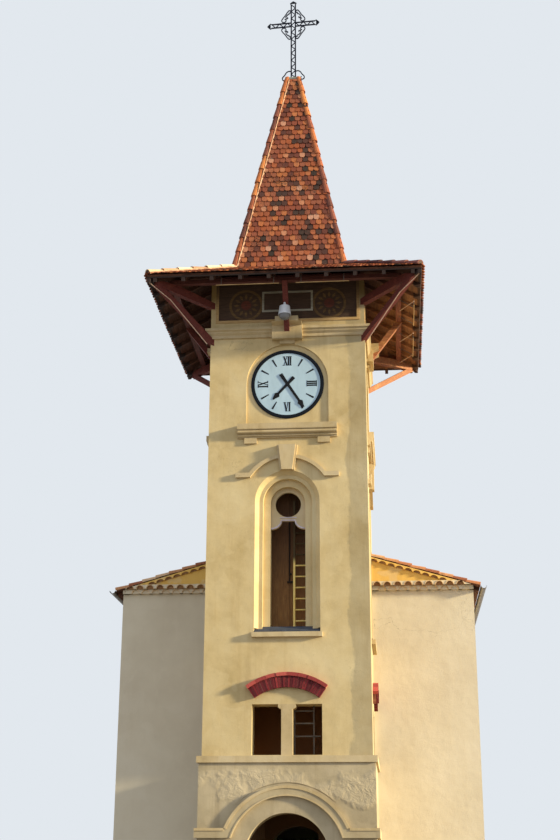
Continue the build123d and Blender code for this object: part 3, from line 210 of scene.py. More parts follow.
# %% Key light
KEY_COLOUR, KEY_STRENGTH = (1.0, 0.89, 0.63), 7.8
KEY_AZIMUTH, KEY_HEIGHT, KEY_SOFTNESS = 79.0, 13.5, 4.0
key = bpy.data.objects.new("key", bpy.data.lights.new("key", "SUN"))
key.data.energy, key.data.color = KEY_STRENGTH, KEY_COLOUR
key.data.angle = math.radians(KEY_SOFTNESS)
key.rotation_euler = (math.radians(90 - KEY_HEIGHT), 0, math.radians(KEY_AZIMUTH))
bpy.context.scene.collection.objects.link(key)
bpy.context.scene.view_settings.view_transform = "Standard"
print("key light from", KEY_AZIMUTH, "degrees right of the front,", KEY_HEIGHT, "degrees up")

# %% [markdown]
# ## Finishes
# Each finish starts from the imported model's own coordinates, in metres, so that a stain or a grain
# has its real size. Broad noise gives tone, stretched noise gives runs of dirt, and fine noise gives
# the relief. `Finish` keeps a material, its tree and its shader together, and its short methods let
# a recipe be read as one layer after another. In the recipes a noise is given by its scale per metre
# and its detail, `step` by the two levels between which a mask rises, and a layer by the share at
# which it shows. These numbers were set beside the picture of the real surface.


# %% Finish helper
class Finish:
    """A material under construction."""

    def __init__(self, name, roughness=0.85, metallic=0.0, specular=0.35):
        self.material = bpy.data.materials.new(name)
        self.material.use_nodes = True
        self.tree = self.material.node_tree
        self.shader = self.tree.nodes["Principled BSDF"]
        self.shader.inputs["Roughness"].default_value = roughness
        self.shader.inputs["Metallic"].default_value = metallic
        self.shader.inputs["Specular IOR Level"].default_value = specular
        self.place = self.tree.nodes.new("ShaderNodeTexCoord").outputs["Object"]

    def put(self, kind, inputs=None, **settings):
        return put(self.tree, kind, inputs, **settings)

    def maths(self, operation, *values):
        return maths(self.tree, operation, *values)

    def times(self, a, b):
        return times(self.tree, a, b)

    def plus(self, a, b):
        return plus(self.tree, a, b)

    def rest_of(self, mask):
        """What a mask leaves free."""
        return self.maths("SUBTRACT", 1.0, mask)

    def noise(self, scale, detail=4.0, stretch=(1, 1, 1), vector=None, roughness=0.5, distortion=0.0):
        spread = self.put("ShaderNodeMapping", {"Vector": vector or self.place, "Scale": stretch})
        return self.put("ShaderNodeTexNoise", {
            "Vector": spread, "Scale": scale, "Detail": detail, "Roughness": roughness,
            "Distortion": distortion})

    def step(self, value, low, high):
        """0 below `low`, 1 above `high`, and a smooth rise between them."""
        return self.put("ShaderNodeMapRange", {"Value": value, "From Min": low, "From Max": high},
                        interpolation_type="SMOOTHSTEP")

    def ramp(self, value, *stops):
        """A colour read off a row of (place, colour) stops."""
        node = self.tree.nodes.new("ShaderNodeValToRGB")
        elements = node.color_ramp.elements
        while len(elements) < len(stops):
            elements.new(0.5)
        for element, (place, colour) in zip(elements, stops):
            element.position, element.color = place, colour
        self.tree.links.new(value, node.inputs["Fac"])
        return node.outputs["Color"]

    def mix(self, share, a, b, blend="MIX"):
        return self.put("ShaderNodeMix", {"Factor": share, "A": a, "B": b},
                        data_type="RGBA", blend_type=blend)

    def stained(self, share, colour, stain):
        """A colour multiplied by a stain, as far as the share says."""
        return self.mix(share, colour, stain, "MULTIPLY")

    def axis(self, letter, vector=None):
        parts = self.tree.nodes.new("ShaderNodeSeparateXYZ")
        self.tree.links.new(vector or self.place, parts.inputs[0])
        return parts.outputs[letter]

    def reach(self):
        """How far out from the tower's axis a place lies, squarely: the larger of X and Y."""
        return self.maths("MAXIMUM", self.maths("ABSOLUTE", self.axis("X")),
                          self.maths("ABSOLUTE", self.axis("Y")))

    def attribute(self, name):
        node = self.tree.nodes.new("ShaderNodeAttribute")
        node.attribute_name = name
        return node.outputs["Fac"]

    def facing_up(self, low, high):
        """How far the surface faces the sky, where dust and lichen settle."""
        normal = self.tree.nodes.new("ShaderNodeNewGeometry").outputs["Normal"]
        return self.step(self.axis("Z", normal), low, high)

    def done(self, colour, relief=None, depth=0.002, roughness=None):
        """Plugs the colour, and if given the relief and roughness, into the shader."""
        self.tree.links.new(colour, self.shader.inputs["Base Color"])
        if relief is not None:
            bump = self.put("ShaderNodeBump", {"Height": relief, "Distance": depth, "Strength": 1.0})
            self.tree.links.new(bump, self.shader.inputs["Normal"])
        if roughness is not None:
            self.tree.links.new(roughness, self.shader.inputs["Roughness"])
        return self.material


# %% [markdown]
# ### Lime plaster
# The tower is rendered and painted a warm cream. It has dried in patches, rain has drawn runs of
# dirt down it, and the trowel has left a soft relief. A picture of a wall could be wrapped round it,
# but layers of noise have no seams and fit every wall. Four marks are made by helpers of their own:
# bare plaster inside, hairline cracks, a darker strip beyond one edge with painted shade under the
# eave, and blistered paint.

# %% Marks on plaster
INNER_HALF, BARE_WALL, GRIME = 1.305, paint(132, 94, 60), paint(120, 104, 76)
STRIP_DARKER, EAVE_SHADE, EAVE_SHADE_BAND = (0.76, 0.78, 0.84, 1.0), (0.62, 0.55, 0.42, 1.0), (14.3, 14.6)
STRIP_RAGGED, STRIP_START, STRIP_END = 0.6, 0.28, 0.34
DOOR_CENTRE_Z, BLISTER_FREE_R, BLISTER_RAGGED, BLISTER_SOFT, DOOR_SOFT = 1.98, 1.46, 0.7, 0.16, 0.03


def inside_tower(finish):
    """1 on what lies within the tower's inner faces, which were never painted."""
    return finish.maths("LESS_THAN", finish.reach(), INNER_HALF)


def hairlines(wall):
    """1 along fine cracks: where the cells of a warped pattern meet, in some parts of the wall."""
    warp = wall.put("ShaderNodeCombineXYZ", {
        0: wall.noise(2.2, 5, roughness=0.7), 1: wall.noise(2.0, 5), 2: wall.noise(1.8, 5)})
    warped = wall.put("ShaderNodeVectorMath", {0: wall.place, 1: warp}, operation="ADD")
    edge = wall.put("ShaderNodeTexVoronoi", {"Vector": warped, "Scale": 0.42}, feature="DISTANCE_TO_EDGE")
    return wall.times(wall.rest_of(wall.step(edge, 0.0005, 0.0022)),
                      wall.step(wall.noise(0.35, 2), 0.52, 0.6))


def darker_strip_and_eave_shade(wall, colour, strip):
    """Greys the wall beyond X = strip, along a ragged line, and paints shade on it high under the eave."""
    ragged = wall.times(wall.noise(1.1, 6, stretch=(1, 1, 0.55), roughness=0.62), STRIP_RAGGED)
    edge = wall.plus(wall.axis("X"), ragged)
    # Beyond X = strip the wall is darker and greyer, along a ragged edge.
    colour = wall.stained(wall.step(edge, strip + STRIP_START, strip + STRIP_END), colour, STRIP_DARKER)
    # Painted shade: the wall high under the eave is darkened.
    return wall.stained(wall.step(wall.axis("Z"), *EAVE_SHADE_BAND), colour, EAVE_SHADE)


def blisters(wall, low, high):
    """1 where paint has blistered: in a ragged band between two heights, clear of the door's arch."""
    ragged = wall.plus(wall.axis("Z"), wall.times(wall.noise(1.4, 4), BLISTER_RAGGED))
    patch = wall.times(wall.step(ragged, low, low + BLISTER_SOFT),
                       wall.rest_of(wall.step(ragged, high, high + BLISTER_SOFT)))
    across, rise = wall.axis("X"), wall.maths("SUBTRACT", wall.axis("Z"), DOOR_CENTRE_Z)
    radius = wall.maths("SQRT", wall.plus(wall.times(across, across), wall.times(rise, rise)))
    patch = wall.times(patch, wall.step(radius, BLISTER_FREE_R, BLISTER_FREE_R + DOOR_SOFT))
    return wall.times(patch, wall.step(wall.noise(1.3, 3), 0.38, 0.56))


# The painted shade under the eave begins at this height.
print("soot on the plaster begins at", EAVE_SHADE_BAND[0], "m")

# %% Plaster
GABLE_BAND_Z, BAND_OCHRE, BAND_SOFT = 8.235, paint(238, 192, 102), 0.01
BLISTER_RELIEF, BLISTER_PALE, TROWEL_DEEP = 2.8, 0.6, 0.012


def plaster(name, base, pale, dark, stain=0.5, above=None, blistered=None, strip=None):
    """Painted render: patches, runs of dirt, hairline cracks and a trowelled relief."""
    wall = Finish(name, roughness=0.92, specular=0.2)
    base, pale, dark = paint(*base), paint(*pale), paint(*dark)
    colour = wall.ramp(wall.noise(0.55, 6, roughness=0.6), (0.32, dark), (0.5, base), (0.68, pale))
    if above:
        level, upper = above
        colour = wall.mix(wall.step(wall.axis("Z"), level - BAND_SOFT, level + BAND_SOFT), colour, upper)
    repairs = wall.step(wall.noise(1.7, 3, distortion=0.6), 0.56, 0.6)
    colour = wall.mix(wall.times(repairs, 0.22), colour, pale)
    runs = wall.step(wall.noise(1.6, 5, stretch=(2.4, 2.4, 0.16), roughness=0.65), 0.5, 0.78)
    colour = wall.stained(wall.times(runs, 0.5 * stain), colour, dark)
    specks = wall.step(wall.noise(23, 4), 0.62, 0.75)
    colour = wall.mix(wall.times(specks, 0.25 * stain), colour, GRIME)
    colour = wall.mix(wall.times(wall.facing_up(0.5, 0.9), 0.55), colour, GRIME)
    colour = wall.mix(wall.times(hairlines(wall), 0.45), colour, GRIME)
    colour = wall.mix(inside_tower(wall), colour, BARE_WALL)
    relief = wall.plus(wall.times(wall.noise(3.2, 3), 0.75), wall.times(wall.noise(70, 3), 0.25))
    if strip:
        colour = darker_strip_and_eave_shade(wall, colour, strip)
    if blistered:
        patch = blisters(wall, *blistered)
        lumps = wall.times(wall.noise(5.5, 6, roughness=0.66, distortion=0.7), BLISTER_RELIEF)
        relief = wall.plus(relief, wall.times(patch, lumps))
        colour = wall.mix(wall.times(patch, BLISTER_PALE), colour, pale)
    return wall.done(colour, relief, TROWEL_DEEP)


tower_plaster = plaster("tower_plaster", (208, 184, 134), (220, 199, 152), (186, 160, 108), strip=1.36)
base_plaster = plaster("base_plaster", (180, 163, 130), (200, 182, 148), (158, 142, 112), 0.7,
                       blistered=(3.35, 3.95))
surround_plaster = plaster("surround_plaster", (184, 166, 130), (198, 180, 144), (162, 144, 112), 0.7)
nave_plaster = plaster("nave_plaster", (223, 209, 180), (228, 215, 188), (215, 200, 171), 0.15,
                       above=(GABLE_BAND_Z, BAND_OCHRE))
trim_plaster = plaster("trim_plaster", (198, 175, 132), (210, 191, 153), (174, 151, 107), 0.7)
print("plaster finishes:", tower_plaster.name, nave_plaster.name, trim_plaster.name)

# %% [markdown]
# ### Clay tiles and bricks
# No two fired tiles are alike. One material for each tile would be slow, so each laid tile carries a
# number from 0 to 1, its tone, which picks its colour from a row of fired clays. Lichen and soot then
# spread over whole groups of tiles.


# %% Clay
def clay(name, tones, lichen, soot=(52, 44, 34)):
    """Fired clay; `tones` has a row (tone, red, green, blue) for each colour, the sootiest first."""
    tile = Finish(name, roughness=0.88, specular=0.25)
    stops = [(tone, paint(*colour)) for tone, *colour in tones]
    colour = tile.ramp(tile.attribute("tone"), *stops)
    colour = tile.stained(tile.times(tile.step(tile.noise(34, 5), 0.45, 0.8), 0.45), colour, stops[0][1])
    patches = tile.step(tile.noise(1.5, 6, roughness=0.62), 0.52, 0.66)
    crust = tile.step(tile.noise(26, 4, roughness=0.7), 0.42, 0.62)
    colour = tile.mix(tile.times(tile.times(patches, crust), lichen), colour, paint(*soot))
    return tile.done(colour, tile.noise(48, 4), 0.004)


spire_clay = clay("spire_clay", (
    (0.0, 54, 44, 36), (0.10, 76, 52, 44), (0.2, 106, 58, 44), (0.35, 138, 72, 50), (0.5, 148, 86, 60),
    (0.65, 158, 82, 46), (0.8, 166, 98, 66), (0.93, 178, 104, 58), (1.0, 196, 142, 112)), 0.9)
roof_clay = clay("roof_clay", (
    (0.0, 120, 70, 48), (0.3, 170, 104, 68), (0.6, 192, 132, 88), (0.85, 206, 154, 108),
    (1.0, 220, 182, 140)), 0.6)
ridge_clay = clay("ridge_clay", (
    (0.0, 96, 58, 48), (0.35, 138, 80, 62), (0.6, 160, 90, 60), (0.85, 198, 118, 64),
    (1.0, 216, 142, 82)), 0.45)
# The next two are painted light and shade for the skirt's front hips: the pale one is painted sunlight on the
# front-left hip, the wine one is painted shade on the front-right hip.
sunlit_hip_clay = clay("sunlit_hip_clay", (
    (0.0, 166, 124, 92), (0.35, 206, 168, 128), (0.7, 226, 194, 150), (1.0, 238, 212, 172)), 0.3)
shaded_hip_clay = clay("shaded_hip_clay", (
    (0.0, 70, 42, 40), (0.35, 98, 54, 50), (0.7, 116, 66, 60), (1.0, 150, 96, 84)), 0.3)
brick_red = clay("brick_red", (
    (0.0, 88, 30, 34), (0.5, 112, 38, 42), (0.85, 132, 46, 48), (1.0, 158, 58, 58)), 0.25, (70, 40, 34))
cap_red = clay("cap_red", (
    (0.0, 150, 62, 58), (0.5, 172, 74, 66), (1.0, 196, 96, 84)), 0.25, (96, 52, 44))
print("clay finishes:", spire_clay.name, roof_clay.name, ridge_clay.name, brick_red.name)

# %% [markdown]
# ### Mortar
# Mortar beds the tiles, fills the joints and caps the spire. It is one sandy surface in many
# colours, so a single short recipe makes them all, and thin coats of limewash too.


# %% Mortar
def mortar(name, base, dark):
    bed = Finish(name, roughness=0.95, specular=0.15)
    colour = bed.ramp(bed.noise(5, 6, roughness=0.65), (0.35, paint(*dark)), (0.6, paint(*base)))
    return bed.done(colour, bed.noise(60, 4), 0.006)


cap_mortar = mortar("cap_mortar", (138, 142, 128), (92, 90, 76))
hip_mortar = mortar("hip_mortar", (104, 84, 72), (60, 48, 42))
fillet_mortar = mortar("fillet_mortar", (196, 158, 126), (150, 112, 88))
# The hollows' ochre-brown is partly the mortar's own colour and partly painted shade in the scallops.
shaded_hollow_mortar = mortar("shaded_hollow_mortar", (168, 128, 88), (128, 92, 62))
# The pale lilac is painted light: sky light on the undersides of the tracery's cuts.
sky_lit_trim = mortar("sky_lit_trim", (214, 202, 206), (186, 172, 172))
joint_mortar = mortar("joint_mortar", (178, 120, 100), (124, 76, 62))
rim_clay = mortar("rim_clay", (236, 206, 160), (196, 156, 112))
tile_bed = mortar("tile_bed", (96, 62, 46), (60, 40, 32))
print("mortar finishes:", cap_mortar.name, hip_mortar.name, joint_mortar.name, tile_bed.name)

# %% [markdown]
# ### Timber
# Grain runs along a timber. Each timber could have its own map, but the roof's have only three ways
# to lie: rafters and struts run outwards from the tower, plates and purlins run round it, and boards
# stand up. So the noise is stretched one way in the front and rear quarters and the other way on the
# flanks. Painted light lifts the right side, where the low sun falls, and painted shade darkens the
# left. The eave's outer edge is darker, and painted shade darkens what lies high under the eave or
# deep in the niches.

# %% Timber
SUNNY_LOW, SUNNY_HIGH, SUNNY_LEAN = 1.2, 2.3, 0.6
SHADE_DARK, EAVE_EDGE_DARK, EDGE_DARK_SOFT, WORN = (0.42, 0.43, 0.48, 1.0), (0.22, 0.22, 0.26, 1.0), 0.05, 0.4


def along_grain(wood, grain, x, y, z):
    """A place whose first axis runs along the timber."""
    if grain == "up":
        return wood.put("ShaderNodeCombineXYZ", {0: z, 1: x, 2: y})
    front = wood.maths("GREATER_THAN", wood.maths("ABSOLUTE", y), wood.maths("ABSOLUTE", x))
    near, far = (y, x) if grain == "out" else (x, y)
    along = wood.put("ShaderNodeMix", {"Factor": front, "A": far, "B": near}, data_type="FLOAT")
    across = wood.put("ShaderNodeMix", {"Factor": front, "A": near, "B": far}, data_type="FLOAT")
    return wood.put("ShaderNodeCombineXYZ", {0: along, 1: across, 2: z})


def timber(name, base, pale, dark, grain, lit_and_shaded=None, shade_above=None, dark_edge_reach=None):
    """Painted or bare wood; `grain` is "out", "round" or "up"."""
    wood = Finish(name, roughness=0.72, specular=0.3)
    base, pale, dark = paint(*base), paint(*pale), paint(*dark)
    x, y, z = (wood.axis(letter) for letter in "XYZ")
    line = along_grain(wood, grain, x, y, z)
    grain_lines = wood.noise(9, 6, stretch=(0.35, 9, 9), vector=line, roughness=0.65)
    colour = wood.ramp(grain_lines, (0.3, dark), (0.52, base), (0.72, pale))
    flakes = wood.step(wood.noise(7, 5, stretch=(0.6, 1, 1), vector=line), 0.55, 0.7)
    colour = wood.mix(wood.times(flakes, WORN), colour, pale)
    # Painted light and shade: the right side, where the low sun falls, is lifted and the left darkened.
    if lit_and_shaded:
        side = wood.step(wood.plus(x, wood.times(y, SUNNY_LEAN)), SUNNY_LOW, SUNNY_HIGH)
        colour = wood.stained(1.0, colour, wood.mix(side, *lit_and_shaded))
    # Darker beyond a reach from the tower's axis, along the eave's outer edge.
    if dark_edge_reach:
        colour = wood.stained(wood.step(wood.reach(), dark_edge_reach, dark_edge_reach + EDGE_DARK_SOFT), colour, EAVE_EDGE_DARK)
    # Painted shade: darker above a height, high under the eave or deep in a niche.
    if shade_above:
        low, high, shade = shade_above
        colour = wood.stained(wood.step(z, low, high), colour, shade)
    return wood.done(colour, grain_lines, 0.004)


# %% Roof timbers
# In each timber, the last pair of colours is painted shade for the left side and painted light for the right.
maroon_out = timber("maroon_out", (120, 58, 47), (164, 98, 72), (78, 38, 32), "out",
                    lit_and_shaded=((0.72, 0.62, 0.68, 1.0), (1.9, 3.0, 1.9, 1.0)))
maroon_round = timber("maroon_round", (104, 54, 43), (146, 90, 66), (68, 36, 30), "round",
                      lit_and_shaded=((0.6, 0.55, 0.6, 1.0), (1.7, 2.0, 1.5, 1.0)))
deck_boards = timber("deck_boards", (118, 78, 56), (152, 106, 78), (78, 50, 38), "round",
                     lit_and_shaded=(SHADE_DARK, (1.75, 2.0, 1.8, 1.0)), dark_edge_reach=3.02)
rafter_wood = timber("rafter_wood", (130, 86, 62), (166, 116, 84), (86, 54, 40), "out",
                     lit_and_shaded=(SHADE_DARK, (1.75, 1.9, 1.5, 1.0)), dark_edge_reach=2.92)
print("roof timbers:", maroon_out.name, maroon_round.name, deck_boards.name, rafter_wood.name)

# %% Joinery
# The screen, the ladder and the cream fillet are darkened above a height: painted shade deep in the niche and
# high under the eave.
screen_wood = timber("screen_wood", (146, 102, 54), (168, 122, 68), (108, 74, 38), "up",
                     shade_above=(6.9, 9.2, (0.40, 0.36, 0.42, 1.0)))
# The ladder's bright yellow is painted sunlight on its lower part.
ladder_wood = timber("ladder_wood", (255, 222, 126), (255, 238, 156), (226, 178, 92), "up",
                     shade_above=(8.2, 8.4, (0.07, 0.06, 0.06, 1.0)))
door_wood = timber("door_wood", (98, 70, 44), (128, 96, 62), (64, 44, 28), "up")
casement_wood = timber("casement_wood", (96, 86, 74), (118, 108, 94), (66, 58, 50), "up")
frieze_wood = timber("frieze_wood", (74, 54, 40), (98, 74, 54), (50, 36, 28), "round")
fillet_cream = timber("fillet_cream", (196, 160, 106), (216, 184, 132), (150, 112, 70), "round",
                      shade_above=(14.1, 14.8, (0.28, 0.26, 0.28, 1.0)))
panel_grey = timber("panel_grey", (172, 166, 148), (192, 186, 166), (124, 116, 98), "round")
frieze_ochre = timber("frieze_ochre", (110, 84, 50), (134, 106, 66), (76, 56, 36), "round")
frieze_red = timber("frieze_red", (104, 54, 40), (126, 72, 52), (70, 38, 30), "round")
print("joinery:", screen_wood.name, ladder_wood.name, door_wood.name, frieze_wood.name)

# %% [markdown]
# ### Metal
# The cross is old wrought iron, the dial's ring and hands are painted, and the gutters are dull zinc.
# A mirror-like metal would look new, so its sheen is patchy and spots of rust are mixed in.


# %% Metal
def iron(name, base, rust, metallic=0.6, rusty=0.4, specular=0.35):
    metal = Finish(name, roughness=0.5, metallic=metallic, specular=specular)
    base, rust = paint(*base), paint(*rust)
    rubbed = (*[1.25 * share for share in base[:3]], 1.0)
    colour = metal.ramp(metal.noise(4, 3), (0.3, base), (0.8, rubbed))
    spots = metal.step(metal.noise(14, 6, roughness=0.7), 0.5, 0.72)
    sheen = metal.ramp(metal.noise(8, 3), (0.3, (0.4, 0.4, 0.4, 1)), (0.7, (0.65, 0.65, 0.65, 1)))
    return metal.done(metal.mix(metal.times(spots, rusty), colour, rust), metal.noise(90, 3), 0.001, sheen)


black_iron = iron("black_iron", (26, 29, 42), (64, 46, 40), rusty=0.25)
ring_paint = iron("ring_paint", (10, 16, 24), (22, 26, 32), 0.0, 0.3, 0.15)
hand_paint = iron("hand_paint", (20, 20, 23), (48, 42, 40), 0.0, 0.3, 0.15)
bolt_iron = iron("bolt_iron", (48, 36, 28), (70, 50, 38), 0.1, specular=0.1)
zinc = iron("zinc", (96, 88, 80), (72, 58, 48), 0.4, 0.6)
print("metal finishes:", black_iron.name, ring_paint.name, hand_paint.name, bolt_iron.name, zinc.name)

# %% [markdown]
# ### Enamel
# The dial and the lamp are smooth and pale, with rain marks and a few chips. A plain glossy colour
# would look like plastic, so a faint noise, drawn out downwards, breaks it up.

# %% Enamel
LAMP_FOOT_Z, FOOT_SOFT, CHIPS = 13.80, 0.012, 0.25


def enamel(name, base, shade, roughness=0.35, foot=None):
    """A smooth pale coat; `foot` gives a height and the colour that the coat has below it."""
    coat = Finish(name, roughness=roughness, specular=0.5)
    base, shade = paint(*base), paint(*shade)
    weather = coat.noise(2.6, 6, stretch=(1.6, 1.6, 0.5), roughness=0.6)
    colour = coat.ramp(weather, (0.3, shade), (0.65, base))
    if foot:
        level, lower = foot
        colour = coat.mix(coat.step(coat.axis("Z"), level, level + FOOT_SOFT), lower, colour)
    specks = coat.step(coat.noise(30, 3), 0.68, 0.78)
    return coat.done(coat.mix(coat.times(specks, CHIPS), colour, shade), coat.noise(12, 2), 0.001)


dial_enamel = enamel("dial_enamel", (184, 208, 219), (168, 192, 204))
lamp_white = enamel("lamp_white", (232, 234, 236), (196, 200, 204), foot=(LAMP_FOOT_Z, paint(112, 112, 114)))
cable_sheath = enamel("cable_sheath", (226, 192, 164), (200, 164, 138), 0.5)
print("enamel finishes:", dial_enamel.name, lamp_white.name, cable_sheath.name)

# %% [markdown]
# ### Slate and floors
# The niches stand on slates, and the floors are a trodden screed. Both are matt and unevenly toned,
# so they share one recipe, with the bare inside of the tower taken from the plaster.


# %% Slate and floors
def stone(name, base, dark):
    slab = Finish(name, roughness=0.8)
    colour = slab.ramp(slab.noise(6, 6, roughness=0.65), (0.3, paint(*dark)), (0.7, paint(*base)))
    colour = slab.mix(inside_tower(slab), colour, BARE_WALL)
    return slab.done(colour, slab.noise(40, 4), 0.003)


slate = stone("slate", (70, 76, 88), (46, 50, 58))
floor_screed = stone("floor_screed", (168, 156, 136), (132, 120, 102))
print("stone finishes:", slate.name, floor_screed.name)

# %% [markdown]
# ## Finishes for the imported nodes
# Where a node's shape is right, it keeps its mesh and only gets a better finish. One table says which
# nodes share a finish, so that a wall and its patch can't drift apart.

# %% Dress the nodes
FINISH_OF = {
    base_plaster: ("base_arch_head", "base_pier_left", "base_pier_right", "base_side_walls",
                   "base_wall_back"),
    surround_plaster: ("door_surround",),
    tower_plaster: ("tower_wall_window", "tower_wall_front", "tower_wall_left", "tower_wall_right",
                    "tower_wall_back"),
    nave_plaster: ("nave_front_left", "nave_front_right", "nave_side_walls", "nave_rear_wall"),
    trim_plaster: ("string_course", "window_piers", "niche_sills", "tracery_panels",
                   "hood_moulds", "keystones", "clock_sills", "top_cornice", "cornice_consoles"),
    slate: ("niche_slates",),
    floor_screed: ("porch_floor", "nave_floor", "upper_floors"),
    maroon_out: ("corner_beams", "roof_struts"),
    maroon_round: ("eave_purlins", "wall_plates"),
    rafter_wood: ("rafters",),
    deck_boards: ("skirt_deck",),
    frieze_wood: ("frieze_boards",),
    screen_wood: ("belfry_screens",),
    ladder_wood: ("belfry_ladder",),
    door_wood: ("entrance_door_left", "entrance_door_right"),
    tile_bed: ("spire_front_rear", "spire_sides"),
    roof_clay: ("nave_roof_left", "nave_roof_right", "genoise", "skirt_tiles"),
    ridge_clay: ("hip_tiles", "nave_ridge_tiles"),
    brick_red: ("brick_arches",),
    cap_mortar: ("spire_cap",),
    black_iron: ("cross", "door_pintles"),
    zinc: ("gutters",),
    dial_enamel: ("clock_dial",),
    ring_paint: ("clock_ring",),
    hand_paint: ("minute_hand", "hour_hand"),
    lamp_white: ("dome_lamp",),
}
for finish, names in FINISH_OF.items():
    for name in names:
        cad[name].data.materials.clear()
        cad[name].data.materials.append(finish)
print(sum(len(names) for names in FINISH_OF.values()), "nodes dressed")

# %% [markdown]
# ## Laying things in courses
# Tiles, boards and rims all sit in rows. Copies could be set by a loop, but a geometry tree is faster
# and keeps every size an input: it makes a grid of points, shifts every other course sideways, nudges
# and turns each point a little, sets a copy of the carrier's own mesh on each and writes its tone. The
# instances are realized at the end, because the export drops instances.


# %% Tree helpers
def new_tree(name, **inputs):
    """An empty geometry tree with a mesh coming in and going out, and named inputs."""
    tree = bpy.data.node_groups.new(name, "GeometryNodeTree")
    tree.interface.new_socket("Mesh", in_out="INPUT", socket_type="NodeSocketGeometry")
    for title, kind in inputs.items():
        tree.interface.new_socket(title, in_out="INPUT", socket_type="NodeSocket" + kind)
    tree.interface.new_socket("Mesh", in_out="OUTPUT", socket_type="NodeSocketGeometry")
    return tree, tree.nodes.new("NodeGroupInput").outputs


def at_random(tree, reach, seed, axes):
    """A random vector for each point: up to a reach either way along each of its first `axes`."""
    back = times(tree, reach, -1.0)
    low = put(tree, "ShaderNodeCombineXYZ", {axis: back for axis in range(axes)})
    high = put(tree, "ShaderNodeCombineXYZ", {axis: reach for axis in range(axes)})
    return put(tree, "FunctionNodeRandomValue", {"Min": low, "Max": high, "Seed": seed},
               data_type="FLOAT_VECTOR")


def settle(tree, given, points, turn=None):
    """Sets the carrier on every point, gives each copy a tone and a finish, and ends the tree."""
    rotation = at_random(tree, given["Tilt"], given["Seed"], 3)
    if turn is not None:
        rotation = put(tree, "ShaderNodeVectorMath", {0: turn, 1: rotation}, operation="ADD")
    copies = put(tree, "GeometryNodeInstanceOnPoints",
                 {"Points": points, "Instance": given["Mesh"], "Rotation": rotation})
    tone = put(tree, "FunctionNodeRandomValue", {
        "Min": 0.0, "Max": 1.0, "Seed": plus(tree, given["Seed"], 7.0)}, data_type="FLOAT")
    toned = put(tree, "GeometryNodeStoreNamedAttribute",
                {"Geometry": copies, "Name": "tone", "Value": tone}, data_type="FLOAT", domain="INSTANCE")
    real = put(tree, "GeometryNodeRealizeInstances", {"Geometry": toned})
    put(tree, "NodeGroupOutput", {"Mesh": put(
        tree, "GeometryNodeSetMaterial", {"Geometry": real, "Material": given["Finish"]})})


# %% The courses tree
courses_tree, given = new_tree(
    "courses", Columns="Int", Courses="Int", Pitch="Float", Exposure="Float", Stagger="Float",
    Sway="Float", Tilt="Float", Seed="Int", Finish="Material")
wide = times(courses_tree, given["Pitch"], maths(courses_tree, "SUBTRACT", given["Columns"], 1.0))
long = times(courses_tree, given["Exposure"], maths(courses_tree, "SUBTRACT", given["Courses"], 1.0))
grid = put(courses_tree, "GeometryNodeMeshGrid", {
    "Size X": wide, "Size Y": long, "Vertices X": given["Columns"], "Vertices Y": given["Courses"]})
rise = times(courses_tree, long, 0.5)
height = courses_tree.nodes.new("ShaderNodeSeparateXYZ")
courses_tree.links.new(put(courses_tree, "GeometryNodeInputPosition"), height.inputs[0])
course = maths(courses_tree, "ROUND", maths(
    courses_tree, "DIVIDE", plus(courses_tree, height.outputs["Y"], rise), given["Exposure"]))
odd = maths(courses_tree, "MODULO", course, 2.0)
lean = put(courses_tree, "ShaderNodeCombineXYZ", {
    0: times(courses_tree, odd, times(courses_tree, given["Stagger"], given["Pitch"])), 1: rise})
nudge = at_random(courses_tree, given["Sway"], plus(courses_tree, given["Seed"], 3.0), 2)
laid_points = put(courses_tree, "GeometryNodeSetPosition", {
    "Geometry": grid,
    "Offset": put(courses_tree, "ShaderNodeVectorMath", {0: lean, 1: nudge}, operation="ADD")})
settle(courses_tree, given, laid_points)
print("courses tree has", len(courses_tree.nodes), "nodes")

# %% [markdown]
# ## Growing a mesh
# A tree works as a modifier on a carrier object. A modifier's input is set by its socket's
# identifier. The evaluated result is then copied into a plain mesh, and the carrier is thrown away,
# so that later steps can cut and join what was grown like any other mesh. Each field has a seed of
# its own, so that no two look alike and every run gives the same ones.


# %% Growing a mesh
def grow(mesh, tree, **settings):
    """Runs a geometry tree on a mesh and returns the plain mesh that it makes."""
    carrier = bpy.data.objects.new("carrier", mesh)
    bpy.context.scene.collection.objects.link(carrier)
    modifier = carrier.modifiers.new("grow", "NODES")
    modifier.node_group = tree
    identifiers = {item.name: item.identifier for item in tree.interface.items_tree if item.in_out == "INPUT"}
    for title, value in settings.items():
        modifier[identifiers[title]] = value
    depsgraph = bpy.context.evaluated_depsgraph_get()
    made = bpy.data.meshes.new_from_object(
        carrier.evaluated_get(depsgraph), preserve_all_data_layers=True, depsgraph=depsgraph)
    bpy.data.objects.remove(carrier)
    return made


def lay(mesh, finish, columns, courses, pitch, exposure, stagger=0.0, sway=0.0, tilt=0.0, seed=1):
    """Lays copies of a mesh in courses: columns along X about the middle, courses up +Y from 0."""
    return grow(mesh, courses_tree, Columns=columns, Courses=courses, Pitch=float(pitch),
                Exposure=float(exposure), Stagger=float(stagger), Sway=float(sway), Tilt=float(tilt),
                Seed=seed, Finish=finish)


def line_up(mesh, finish, count, exposure, sway=0.0, tilt=0.0, seed=1):
    """Lays copies of a mesh one behind the other, up +Y from 0."""
    return lay(mesh, finish, 1, count, 1.0, exposure, 0.0, sway, tilt, seed)


# %% [markdown]
# ## Making, trimming and joining
# Flat plates are the plainest closed solids, so most pieces start as one. A field of tiles is made
# lying flat and then placed on its slope by a matrix, so that the finished object sits at the origin.
# Where two slopes meet, each field is cut on a plane, and the cut is closed.


